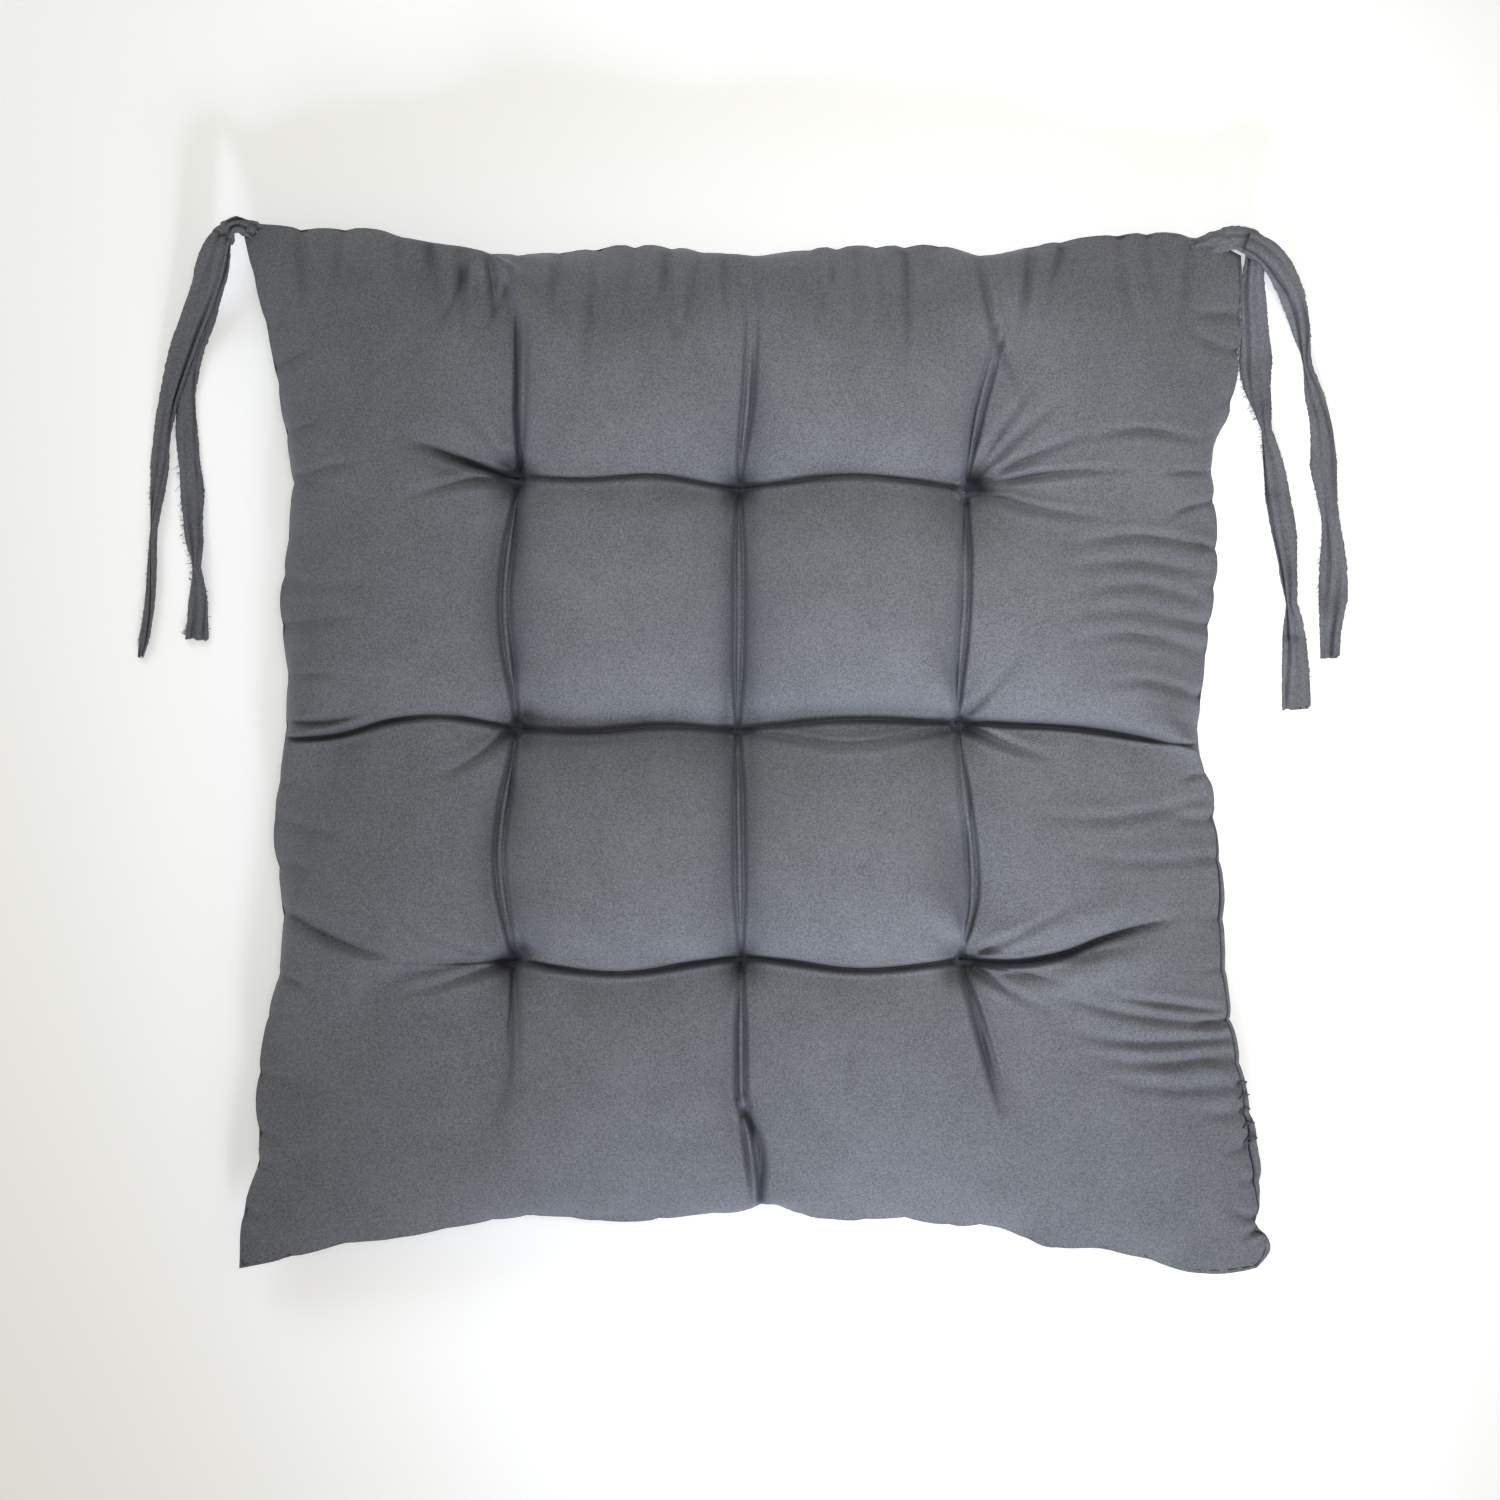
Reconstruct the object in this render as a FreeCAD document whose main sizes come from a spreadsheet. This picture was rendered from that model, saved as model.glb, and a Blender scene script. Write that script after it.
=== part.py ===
import FreeCAD, Part

import math
import os

import Sketcher

# Tufted chair seat pad with tie strips.
#
# Frame: +Z up, +Y towards the back of the chair, origin at the middle of the pad's footprint, on
# the surface that the pad lies on. Units are millimetres and degrees.
#
# The pad is a knife-edge cushion. A top cover and a bottom cover are sewn together around a
# four-sided outline whose sides pull in between the corners, a fibre filling lies inside, and
# nine thread tufts tie the two covers together. Each back corner ends in a sewn-in tab, and two
# tie strips hang from every tab, held by a bar of stitches that they swing about.

DIMENSIONS = {
    # outline, at the seam
    "left_x": -199,
    "right_back_x": 191,
    "left_front_x": -198,
    "right_front_x": 199,
    "back_left_y": 204,
    "back_right_y": 197,
    "front_y": -204,
    "tip_width": 10,
    "left_sag": 18.5,
    "right_sag": 20.5,
    "front_sag": 24,
    "back_sag": 8.5,
    # section
    "seam_height": 22,
    "pad_height": 58,
    "edge_lip": 1.2,
    "cover_thickness": 1.2,
    "seam_margin": 5,
    "clearance": 0.4,
    # tufts
    "tuft_centre_x": -4.2,
    "tuft_centre_y": 7.2,
    "tuft_column_pitch": 86,
    "tuft_row_pitch": 92,
    "tuft_top_height": 33,
    "tuft_bottom_height": 13,
    "tuft_floor_radius": 3.5,
    "tuft_top_mouth": 26,
    "tuft_bottom_mouth": 15,
    "tuft_thread_radius": 0.9,
    "tuft_stitch_length": 6,
    "tuft_knot_radius": 2,
    # seam threads
    "seam_thread_inset": 2,
    "seam_thread_width": 1,
    "thread_play": 0.1,
    "closing_seam_length": 32,
    "closing_seam_angle": 100,
    "closing_seam_x": 184.2,
    "closing_seam_y": -142,
    "closing_seam_width": 0.8,
    # ties
    "tie_width": 9.5,
    "tie_thickness": 1.6,
    "tie_start_margin": 3,
    "tab_length": 10.5,
    "pivot_offset": 6,
    "bartack_radius": 0.9,
    "bartack_bar": 6,
    "bartack_play": 0.3,
    "bartack_foot": 7.6,
}

# Levels of the cushion's side, from the lip inwards: the share of the height above (or below)
# the seam, how far the corners stand in, and how much of each side's sag is left.
UPPER_LEVELS = [(0.36, 12, 0.85), (0.68, 27, 0.7), (0.9, 46, 0.6), (1.0, 66, 0.5)]
LOWER_LEVELS = [(0.4, 9, 0.85), (0.75, 21, 0.7), (0.94, 34, 0.6), (1.0, 46, 0.5)]

# Routes of the four ties, point by point: plan position and height of the strip's middle.
LEFT_SHARED_ROUTE = [
    (-205.0, 199.0, 17.4),
    (-208.1, 188.3, 14.4),
    (-212.7, 177.5, 8.6),
    (-218.9, 163.9, 2.6),
    (-223.6, 150.4, 0.8),
    (-227.1, 136.0, 0.8),
]
LEFT_OUTER_ROUTE = LEFT_SHARED_ROUTE + [
    (-231.3, 121.3, 0.8),
    (-233.3, 101.9, 0.8),
    (-234.4, 82.5, 0.8),
    (-235.2, 65.1, 0.8),
    (-236.4, 49.6, 0.8),
    (-239.5, 34.1, 0.8),
]
STACKED_LIFT = 2.6
LEFT_INNER_ROUTE = [(x, y, z + STACKED_LIFT) for x, y, z in LEFT_SHARED_ROUTE] + [
    (-223.6, 121.3, 3.4),
    (-219.7, 103.9, 1.0),
    (-218.2, 82.5, 0.8),
    (-217.0, 65.1, 0.8),
    (-216.6, 53.5, 0.8),
    (-217.8, 41.1, 0.8),
]
RIGHT_INNER_ROUTE = [
    (197.0, 192.0, 17.0),
    (195.3, 181.4, 13.8),
    (196.1, 169.7, 8.0),
    (197.2, 156.2, 2.4),
    (198.8, 142.6, 0.8),
    (201.9, 128.3, 0.8),
    (205.4, 111.6, 0.8),
    (207.7, 94.2, 0.8),
    (210.6, 77.0, 0.8),
    (212.3, 61.0, 0.8),
    (213.9, 45.3, 0.8),
    (214.7, 29.1, 0.8),
    (215.5, 13.6, 0.8),
]
RIGHT_OUTER_ROUTE = [
    (197.0, 192.0, 20.0),
    (204.9, 185.6, 17.4),
    (211.0, 176.4, 11.8),
    (215.0, 166.2, 6.0),
    (217.8, 155.5, 2.2),
    (220.1, 144.5, 0.8),
    (224.0, 129.0, 0.8),
    (226.3, 111.6, 0.8),
    (227.9, 90.3, 0.8),
    (229.4, 72.5, 0.8),
    (229.4, 56.2, 0.8),
    (228.2, 43.8, 0.8),
    (227.9, 33.7, 0.8),
]

ROWS = ["front", "middle", "back"]
COLUMNS = ["left", "centre", "right"]

doc = FreeCAD.newDocument("chair_seat_pad")
sheet = doc.addObject("Spreadsheet::Sheet", "sizes")
for line, (alias, value) in enumerate(DIMENSIONS.items(), start=1):
    sheet.set(f"A{line}", alias)
    sheet.set(f"B{line}", str(value))
    sheet.setAlias(f"B{line}", alias)
doc.recompute()

parts = []


def size(alias):
    """Value of one driving dimension."""
    return float(getattr(sheet, alias))


def keep(item, label):
    """Marks an object as a piece of the pad, under its own name."""
    item.Label = label
    parts.append(item)
    return item


def origin_feature(body, role):
    """Origin plane or axis of a body, found by its role."""
    return next(f for f in body.Origin.OriginFeatures if f.Role == role)


# ---- cushion shapes ----

# Ends of the outline's eight edges, anticlockwise from the back left tip. Each is given by its
# x and y in the sheet, by the inward direction in x and y, and by a step along y that makes the
# tip's width.
CORNERS = [
    ("left_x", "back_left_y", 1, -1, 0),
    ("left_x", "back_left_y", 1, -1, -1),
    ("left_front_x", "front_y", 1, 1, 1),
    ("left_front_x", "front_y", 1, 1, 0),
    ("right_front_x", "front_y", -1, 1, 0),
    ("right_front_x", "front_y", -1, 1, 1),
    ("right_back_x", "back_right_y", -1, -1, -1),
    ("right_back_x", "back_right_y", -1, -1, 0),
]
SIDES = [None, "left_sag", None, "front_sag", None, "right_sag", None, "back_sag"]


def corner_terms(index, inset):
    """Expressions for one outline corner's x and y, moved inwards by an inset."""
    x, y, x_in, y_in, step = CORNERS[index]
    return (
        f"sizes.{x} + ({x_in}) * ({inset})",
        f"sizes.{y} + ({y_in}) * ({inset}) + ({step}) * sizes.tip_width",
    )


def corner_point(index, inset):
    """The same corner as numbers."""
    x, y, x_in, y_in, step = CORNERS[index]
    return FreeCAD.Vector(
        size(x) + x_in * inset, size(y) + y_in * inset + step * size("tip_width"), 0
    )


def add_outline(sketch, inset, inset_term, sag_share):
    """Draws the eight-sided outline in a sketch: four square tips and four hollow sides."""
    first = sketch.GeometryCount
    points = [corner_point(i, inset) for i in range(8)]
    for i, side in enumerate(SIDES):
        start, end = points[i], points[(i + 1) % 8]
        if side is None:
            sketch.addGeometry(Part.LineSegment(start, end))
            continue
        along = end - start
        inward = FreeCAD.Vector(-along.y, along.x, 0).normalize()
        middle = (start + end) * 0.5 + inward * (size(side) * sag_share)
        sketch.addGeometry(Part.Arc(start, middle, end))
    for i, side in enumerate(SIDES):
        # an arc that turns clockwise from start to end is stored the other way round
        start_vertex = 1 if side is None else 2
        here = first + i
        x_term, y_term = corner_terms(i, inset_term)
        for kind, term in (("DistanceX", x_term), ("DistanceY", y_term)):
            value = points[i].x if kind == "DistanceX" else points[i].y
            index = sketch.addConstraint(
                Sketcher.Constraint(kind, here, start_vertex, value)
            )
            sketch.setExpression(f"Constraints[{index}]", term)
    for i, side in enumerate(SIDES):
        end_vertex = 2 if side is None else 1
        following = (i + 1) % 8
        next_start = 1 if SIDES[following] is None else 2
        sketch.addConstraint(
            Sketcher.Constraint(
                "Coincident", first + i, end_vertex, first + following, next_start
            )
        )
    for i, side in enumerate(SIDES):
        if side is None:
            continue
        start, end = points[i], points[(i + 1) % 8]
        chord = (end - start).Length
        sag = size(side) * sag_share
        index = sketch.addConstraint(
            Sketcher.Constraint("Radius", first + i, (chord**2 / 4 + sag**2) / (2 * sag))
        )
        x_a, y_a = corner_terms(i, inset_term)
        x_b, y_b = corner_terms((i + 1) % 8, inset_term)
        chord_squared = f"(({x_b}) - ({x_a}))^2 + (({y_b}) - ({y_a}))^2"
        sag_term = f"(sizes.{side} * {sag_share})"
        sketch.setExpression(
            f"Constraints[{index}]",
            f"(({chord_squared}) / 4 + {sag_term}^2) / (2 * {sag_term})",
        )


def outline_sketch(body, name, height_term, inset, inset_term, sag_share):
    """Sketch of the outline in a horizontal plane of a body."""
    sketch = body.newObject("Sketcher::SketchObject", name)
    sketch.AttachmentSupport = [(origin_feature(body, "XY_Plane"), "")]
    sketch.MapMode = "FlatFace"
    sketch.setExpression(".AttachmentOffset.Base.z", height_term)
    add_outline(sketch, inset, inset_term, sag_share)
    return sketch


def tuft_pattern(body, original):
    """Repeats a cut at the nine tufts, from the front left one."""
    rows = body.newObject("PartDesign::LinearPattern", original.Name + "_rows")
    rows.Direction = (origin_feature(body, "Y_Axis"), [""])
    rows.setExpression("Length", "2 * sizes.tuft_row_pitch")
    rows.Occurrences = len(ROWS)
    columns = body.newObject("PartDesign::LinearPattern", original.Name + "_columns")
    columns.Direction = (origin_feature(body, "X_Axis"), [""])
    columns.setExpression("Length", "2 * sizes.tuft_column_pitch")
    columns.Occurrences = len(COLUMNS)
    grid = body.newObject("PartDesign::MultiTransform", original.Name + "_grid")
    grid.Originals = [original]
    grid.Transformations = [rows, columns]
    body.Tip = grid


def tuft_tool(body, kind, name, height_term):
    """Cone or cylinder that cuts at the front left tuft, standing on the given height."""
    tool = body.newObject(kind, name)
    tool.AttachmentSupport = [(origin_feature(body, "XY_Plane"), "")]
    tool.MapMode = "FlatFace"
    tool.setExpression(".AttachmentOffset.Base.x", "sizes.tuft_centre_x - sizes.tuft_column_pitch")
    tool.setExpression(".AttachmentOffset.Base.y", "sizes.tuft_centre_y - sizes.tuft_row_pitch")
    tool.setExpression(".AttachmentOffset.Base.z", height_term)
    return tool


def half_cushion(name, upward, depth_term, depth, with_holes):
    """Half of the cushion, above or below the seam, as a body.

    The depth is how far its surface lies under the outside of the cover: 0 for the outside
    itself. Its tuft pits are as much wider and longer.
    """
    body = doc.addObject("PartDesign::Body", name)
    sign = 1 if upward else -1
    reach_term = (
        "(sizes.pad_height - sizes.seam_height" if upward else "(sizes.seam_height"
    ) + f" - {depth_term})"
    rim_inset = size("seam_margin") - size("cover_thickness") + depth if depth else 0
    rim_term = f"sizes.seam_margin - sizes.cover_thickness + {depth_term}" if depth else "0"

    rim = outline_sketch(body, name + "_rim", "sizes.seam_height", rim_inset, rim_term, 1)
    lip = body.newObject("PartDesign::Pad", name + "_lip")
    lip.Profile = rim
    lip.Reversed = not upward
    lip.setExpression("Length", "sizes.edge_lip")

    sections = [
        outline_sketch(
            body,
            name + "_foot",
            f"sizes.seam_height + {sign} * sizes.edge_lip",
            rim_inset,
            rim_term,
            1,
        )
    ]
    for number, (share, inset, sag_share) in enumerate(
        UPPER_LEVELS if upward else LOWER_LEVELS, start=1
    ):
        sections.append(
            outline_sketch(
                body,
                f"{name}_level{number}",
                f"sizes.seam_height + {sign} * {reach_term} * {share}",
                inset + depth,
                f"{inset} + {depth_term}",
                sag_share,
            )
        )
    crown = body.newObject("PartDesign::AdditiveLoft", name + "_crown")
    crown.Profile = sections[0]
    crown.Sections = sections[1:]
    body.Tip = crown
    doc.recompute()

    pit = tuft_tool(
        body,
        "PartDesign::SubtractiveCone",
        name + "_pit",
        f"sizes.tuft_top_height - {depth_term}" if upward else "0",
    )
    floor_term = f"sizes.tuft_floor_radius + {depth_term}"
    if upward:
        pit.setExpression("Height", "sizes.pad_height - sizes.tuft_top_height")
        pit.setExpression("Radius1", floor_term)
        pit.setExpression("Radius2", f"sizes.tuft_top_mouth + {depth_term}")
    else:
        pit.setExpression("Height", f"sizes.tuft_bottom_height + {depth_term}")
        pit.setExpression("Radius1", f"sizes.tuft_bottom_mouth + {depth_term}")
        pit.setExpression("Radius2", floor_term)
    doc.recompute()
    tuft_pattern(body, pit)
    doc.recompute()

    if with_holes:
        hole = tuft_tool(body, "PartDesign::SubtractiveCylinder", name + "_hole", "0")
        hole.setExpression("Height", "sizes.pad_height")
        hole.setExpression("Radius", "sizes.tuft_thread_radius + sizes.thread_play")
        doc.recompute()
        tuft_pattern(body, hole)
        doc.recompute()
    return body


COVER_DEPTH = "sizes.cover_thickness"
FILL_DEPTH = "(sizes.cover_thickness + sizes.clearance)"


def ring_body(name, inset_term, inset, width_term, width, height_term):
    """Flat band that follows the outline, centred on the seam's height."""
    body = doc.addObject("PartDesign::Body", name)
    sketch = outline_sketch(body, name + "_path", "sizes.seam_height", inset, inset_term, 1)
    add_outline(sketch, inset + width, f"{inset_term} + {width_term}", 1)
    band = body.newObject("PartDesign::Pad", name + "_band")
    band.Profile = sketch
    band.Midplane = True
    band.setExpression("Length", height_term)
    return body


def closing_box(name, play_term):
    """Short straight run of thread just inside the seam, near the front of the right side."""
    half_length = f"(sizes.closing_seam_length / 2 + {play_term})"
    half_width = f"(sizes.closing_seam_width / 2 + {play_term})"
    half_height = f"(sizes.seam_thread_width / 2 + {play_term})"
    turn = "(sizes.closing_seam_angle * 1 deg)"
    box = doc.addObject("Part::Box", name)
    box.Placement.Rotation = FreeCAD.Rotation(
        FreeCAD.Vector(0, 0, 1), size("closing_seam_angle")
    )
    box.setExpression("Length", f"2 * {half_length}")
    box.setExpression("Width", f"2 * {half_width}")
    box.setExpression("Height", f"2 * {half_height}")
    box.setExpression(
        ".Placement.Base.x",
        f"sizes.closing_seam_x - cos{turn} * {half_length} + sin{turn} * {half_width}",
    )
    box.setExpression(
        ".Placement.Base.y",
        f"sizes.closing_seam_y - sin{turn} * {half_length} - cos{turn} * {half_width}",
    )
    box.setExpression(".Placement.Base.z", f"sizes.seam_height - {half_height}")
    return box


def cut(name, base, tool):
    """One object with another taken out of it."""
    result = doc.addObject("Part::Cut", name)
    result.Base = base
    result.Tool = tool
    return result


def fuse(name, shapes):
    """Several touching objects as one."""
    result = doc.addObject("Part::MultiFuse", name)
    result.Shapes = shapes
    return result


def build_cushion():
    """Covers, filling and seam threads."""
    play = size("thread_play")
    thread = ring_body(
        "perimeter_thread",
        "sizes.seam_thread_inset",
        size("seam_thread_inset"),
        "sizes.seam_thread_width",
        size("seam_thread_width"),
        "sizes.seam_thread_width",
    )
    groove = ring_body(
        "perimeter_groove",
        "(sizes.seam_thread_inset - sizes.thread_play)",
        size("seam_thread_inset") - play,
        "(sizes.seam_thread_width + 2 * sizes.thread_play)",
        size("seam_thread_width") + 2 * play,
        "sizes.seam_thread_width + 2 * sizes.thread_play",
    )
    closing_groove = closing_box("closing_groove", "sizes.thread_play")
    doc.recompute()
    for label, upward in (("top_cover", True), ("bottom_cover", False)):
        outside = half_cushion(label + "_outside", upward, "0", 0, True)
        inside = half_cushion(
            label + "_inside", upward, COVER_DEPTH, size("cover_thickness"), False
        )
        shell = cut(label + "_shell", outside, inside)
        grooved = cut(label + "_grooved", shell, groove)
        keep(cut(label + "_whole", grooved, closing_groove), label)
    depth = size("cover_thickness") + size("clearance")
    halves = [
        half_cushion("filling_upper", True, FILL_DEPTH, depth, True),
        half_cushion("filling_lower", False, FILL_DEPTH, depth, True),
    ]
    keep(fuse("filling", halves), "fibre_filling")
    keep(thread, "perimeter_seam_thread")
    keep(closing_box("closing_thread", "0"), "closing_seam_thread")


# ---- tufts ----


def build_tufts():
    """Nine threads, each a strand through the pad, a bar stitch on top and a knot beneath."""
    for row, row_name in enumerate(ROWS):
        for column, column_name in enumerate(COLUMNS):
            tag = f"{row_name}_{column_name}"
            x_term = f"sizes.tuft_centre_x + ({column - 1}) * sizes.tuft_column_pitch"
            y_term = f"sizes.tuft_centre_y + ({row - 1}) * sizes.tuft_row_pitch"

            strand = doc.addObject("Part::Cylinder", f"strand_{tag}")
            strand.setExpression("Radius", "sizes.tuft_thread_radius")
            strand.setExpression(
                "Height",
                "sizes.tuft_top_height - sizes.tuft_bottom_height"
                " + sizes.tuft_thread_radius + sizes.tuft_knot_radius",
            )
            strand.setExpression(".Placement.Base.x", x_term)
            strand.setExpression(".Placement.Base.y", y_term)
            strand.setExpression(
                ".Placement.Base.z", "sizes.tuft_bottom_height - sizes.tuft_knot_radius"
            )

            bar = doc.addObject("Part::Cylinder", f"bar_{tag}")
            bar.Placement.Rotation = FreeCAD.Rotation(FreeCAD.Vector(0, 1, 0), 90)
            bar.setExpression("Radius", "sizes.tuft_thread_radius")
            bar.setExpression("Height", "sizes.tuft_stitch_length")
            bar.setExpression(".Placement.Base.x", f"{x_term} - sizes.tuft_stitch_length / 2")
            bar.setExpression(".Placement.Base.y", y_term)
            bar.setExpression(
                ".Placement.Base.z", "sizes.tuft_top_height + sizes.tuft_thread_radius"
            )

            knot = doc.addObject("Part::Sphere", f"knot_{tag}")
            knot.setExpression("Radius", "sizes.tuft_knot_radius")
            knot.setExpression(".Placement.Base.x", x_term)
            knot.setExpression(".Placement.Base.y", y_term)
            knot.setExpression(
                ".Placement.Base.z", "sizes.tuft_bottom_height - sizes.tuft_knot_radius"
            )
            keep(fuse(f"tuft_{tag}", [strand, bar, knot]), f"tuft_thread_{tag}")


# ---- ties ----


def tie_path(label, route):
    """Straight runs joined by tangent arcs as large as the runs allow."""
    points = [FreeCAD.Vector(*p) for p in route]
    edges = []
    radii = []
    last = points[0]
    for before, corner, after in zip(points, points[1:], points[2:]):
        run_in = corner - before
        run_out = after - corner
        setback = 0.45 * min(run_in.Length, run_out.Length)
        way_in = FreeCAD.Vector(run_in).normalize()
        way_out = FreeCAD.Vector(run_out).normalize()
        half_turn = way_in.getAngle(way_out) / 2
        radius = setback / math.tan(half_turn)
        start = corner - way_in * setback
        end = corner + way_out * setback
        to_centre = (way_out - way_in).normalize()
        centre = corner + to_centre * (radius / math.cos(half_turn))
        middle = centre - to_centre * radius
        edges.append(Part.LineSegment(last, start).toShape())
        edges.append(Part.Arc(start, middle, end).toShape())
        radii.append(radius)
        last = end
    edges.append(Part.LineSegment(last, points[-1]).toShape())
    path = Part.Wire(edges)
    print(
        f"{label}: length {path.Length:.1f}, radii "
        + ", ".join(f"{radius:.0f}" for radius in radii)
    )
    return path


def tie_strip(label, route):
    """Flat strip along its route, with a hole at the bar of stitches."""
    width = size("tie_width")
    thickness = size("tie_thickness")
    start = FreeCAD.Vector(*route[0])
    ahead = FreeCAD.Vector(*route[1]) - start
    level_ahead = FreeCAD.Vector(ahead.x, ahead.y, 0).normalize()
    across = FreeCAD.Vector(-level_ahead.y, level_ahead.x, 0)
    path = tie_path(label, route)
    corners = [
        start + across * (width / 2 * side) + FreeCAD.Vector(0, 0, thickness / 2 * rise)
        for side, rise in ((1, 1), (-1, 1), (-1, -1), (1, -1), (1, 1))
    ]
    sweep = Part.BRepOffsetAPI.MakePipeShell(path)
    sweep.setBiNormalMode(FreeCAD.Vector(0, 0, 1))
    sweep.add(Part.makePolygon(corners))
    sweep.build()
    sweep.makeSolid()
    strip = sweep.shape()
    expected = width * thickness * path.Length
    print(f"{label}: volume {strip.Volume:.0f}, section times length {expected:.0f}")

    back = start - level_ahead * size("tie_start_margin")
    end_box = Part.makeBox(
        size("tie_start_margin"),
        width,
        thickness,
        FreeCAD.Vector(0, -width / 2, -thickness / 2),
    )
    turn = math.degrees(math.atan2(level_ahead.y, level_ahead.x))
    end_box.Placement = FreeCAD.Placement(
        back, FreeCAD.Rotation(FreeCAD.Vector(0, 0, 1), turn)
    ).multiply(end_box.Placement)
    eye = Part.makeCylinder(
        size("bartack_radius") + size("bartack_play"),
        size("pad_height"),
        FreeCAD.Vector(start.x, start.y, 0),
    )
    item = doc.addObject("Part::Feature", label + "_strip")
    item.Shape = strip.fuse(end_box).cut(eye).removeSplitter()
    item.Placement = FreeCAD.Placement()
    return keep(item, label)


def build_corner(side):
    """Sewn-in tab of one back corner and the bar of stitches that holds its two ties."""
    left = side == "left"
    edge_term = "sizes.left_x" if left else "sizes.right_back_x"
    corner_term = "sizes.back_left_y" if left else "sizes.back_right_y"
    outward = -1 if left else 1
    pivot_x = f"{edge_term} + ({outward}) * sizes.pivot_offset"
    pivot_y = f"{corner_term} - sizes.tip_width / 2"

    plate = doc.addObject("Part::Box", f"tab_plate_{side}")
    plate.setExpression("Length", "sizes.tab_length")
    plate.setExpression("Width", "sizes.tie_width")
    plate.setExpression("Height", "sizes.tie_thickness")
    shift = " - sizes.tab_length" if left else ""
    plate.setExpression(".Placement.Base.x", edge_term + shift)
    plate.setExpression(".Placement.Base.y", f"{pivot_y} - sizes.tie_width / 2")
    plate.setExpression(".Placement.Base.z", "sizes.seam_height - sizes.tie_thickness / 2")

    eye = doc.addObject("Part::Cylinder", f"tab_eye_{side}")
    eye.setExpression("Radius", "sizes.bartack_radius + sizes.thread_play")
    eye.setExpression("Height", "sizes.pad_height")
    eye.setExpression(".Placement.Base.x", pivot_x)
    eye.setExpression(".Placement.Base.y", pivot_y)
    keep(cut(f"tab_{side}", plate, eye), f"tie_tab_{side}")

    post = doc.addObject("Part::Cylinder", f"bartack_post_{side}")
    post.setExpression("Radius", "sizes.bartack_radius")
    post.setExpression(
        "Height", "sizes.bartack_foot + sizes.tie_thickness / 2 + 2 * sizes.bartack_radius"
    )
    post.setExpression(".Placement.Base.x", pivot_x)
    post.setExpression(".Placement.Base.y", pivot_y)
    post.setExpression(
        ".Placement.Base.z", "sizes.seam_height - sizes.bartack_foot - sizes.bartack_radius"
    )

    bars = []
    for name, height_term in (
        ("top", "sizes.seam_height + sizes.tie_thickness / 2 + sizes.bartack_radius"),
        ("foot", "sizes.seam_height - sizes.bartack_foot - sizes.bartack_radius"),
    ):
        bar = doc.addObject("Part::Cylinder", f"bartack_{name}_{side}")
        bar.Placement.Rotation = FreeCAD.Rotation(FreeCAD.Vector(1, 0, 0), -90)
        bar.setExpression("Radius", "sizes.bartack_radius")
        bar.setExpression("Height", "sizes.bartack_bar")
        bar.setExpression(".Placement.Base.x", pivot_x)
        bar.setExpression(".Placement.Base.y", f"{pivot_y} - sizes.bartack_bar / 2")
        bar.setExpression(".Placement.Base.z", height_term)
        bars.append(bar)
    keep(fuse(f"bartack_{side}", [post] + bars), f"bartack_thread_{side}")


def build_ties():
    """Four tie strips, two at each back corner."""
    for label, route in (
        ("tie_left_outer", LEFT_OUTER_ROUTE),
        ("tie_left_inner", LEFT_INNER_ROUTE),
        ("tie_right_inner", RIGHT_INNER_ROUTE),
        ("tie_right_outer", RIGHT_OUTER_ROUTE),
    ):
        tie_strip(label, route)


build_cushion()
build_tufts()
for corner_side in ("left", "right"):
    build_corner(corner_side)
build_ties()
doc.recompute()

for item in doc.Objects:
    if {"Invalid", "Error"} & set(item.State):
        raise RuntimeError(f"{item.Name} failed: {item.State}")
for item in parts:
    if item.Shape.isNull() or not item.Shape.isValid():
        raise RuntimeError(f"{item.Label} has no valid shape")

os.makedirs("parts", exist_ok=True)
for item in parts:
    item.Shape.exportStep(f"parts/{item.Label}.step")
    box = item.Shape.BoundBox
    print(
        f"{item.Label}: {len(item.Shape.Solids)} solid(s), {item.Shape.Volume:.0f} mm3, "
        f"x {box.XMin:.1f} to {box.XMax:.1f}, y {box.YMin:.1f} to {box.YMax:.1f}, "
        f"z {box.ZMin:.1f} to {box.ZMax:.1f}"
    )
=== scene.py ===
import math

import bpy
import numpy as np
from mathutils import Matrix, Vector


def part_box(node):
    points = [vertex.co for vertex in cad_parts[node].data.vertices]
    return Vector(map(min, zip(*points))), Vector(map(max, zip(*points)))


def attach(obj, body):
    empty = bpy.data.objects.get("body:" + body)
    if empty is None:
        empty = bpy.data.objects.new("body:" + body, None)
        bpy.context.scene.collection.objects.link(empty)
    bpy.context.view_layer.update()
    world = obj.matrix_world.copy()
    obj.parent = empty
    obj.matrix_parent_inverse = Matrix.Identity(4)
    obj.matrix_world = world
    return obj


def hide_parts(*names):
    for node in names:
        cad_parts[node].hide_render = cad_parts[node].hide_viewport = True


# Tufted chair seat pad, lying flat. Two fabric panels are sewn together around the edge, puffed out
# by a cloth solver that works on both panels at once, and tied together at nine tufts. Folds that
# the solver is too coarse for are pressed into its result.
#
# Units are metres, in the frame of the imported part: +Y is the chair's back, where the ties are.

MM = 0.001
TOP, BOTTOM = 0, 1

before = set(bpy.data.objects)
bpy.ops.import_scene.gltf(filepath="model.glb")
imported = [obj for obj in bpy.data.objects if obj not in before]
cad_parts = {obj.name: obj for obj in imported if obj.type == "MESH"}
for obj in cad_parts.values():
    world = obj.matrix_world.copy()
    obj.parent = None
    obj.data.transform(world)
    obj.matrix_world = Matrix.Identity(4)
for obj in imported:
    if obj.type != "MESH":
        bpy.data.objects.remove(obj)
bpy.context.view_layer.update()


def corners_of(node):
    """Lowest and highest corner of a CAD node."""
    low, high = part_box(node)
    return np.array(low), np.array(high)


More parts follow.
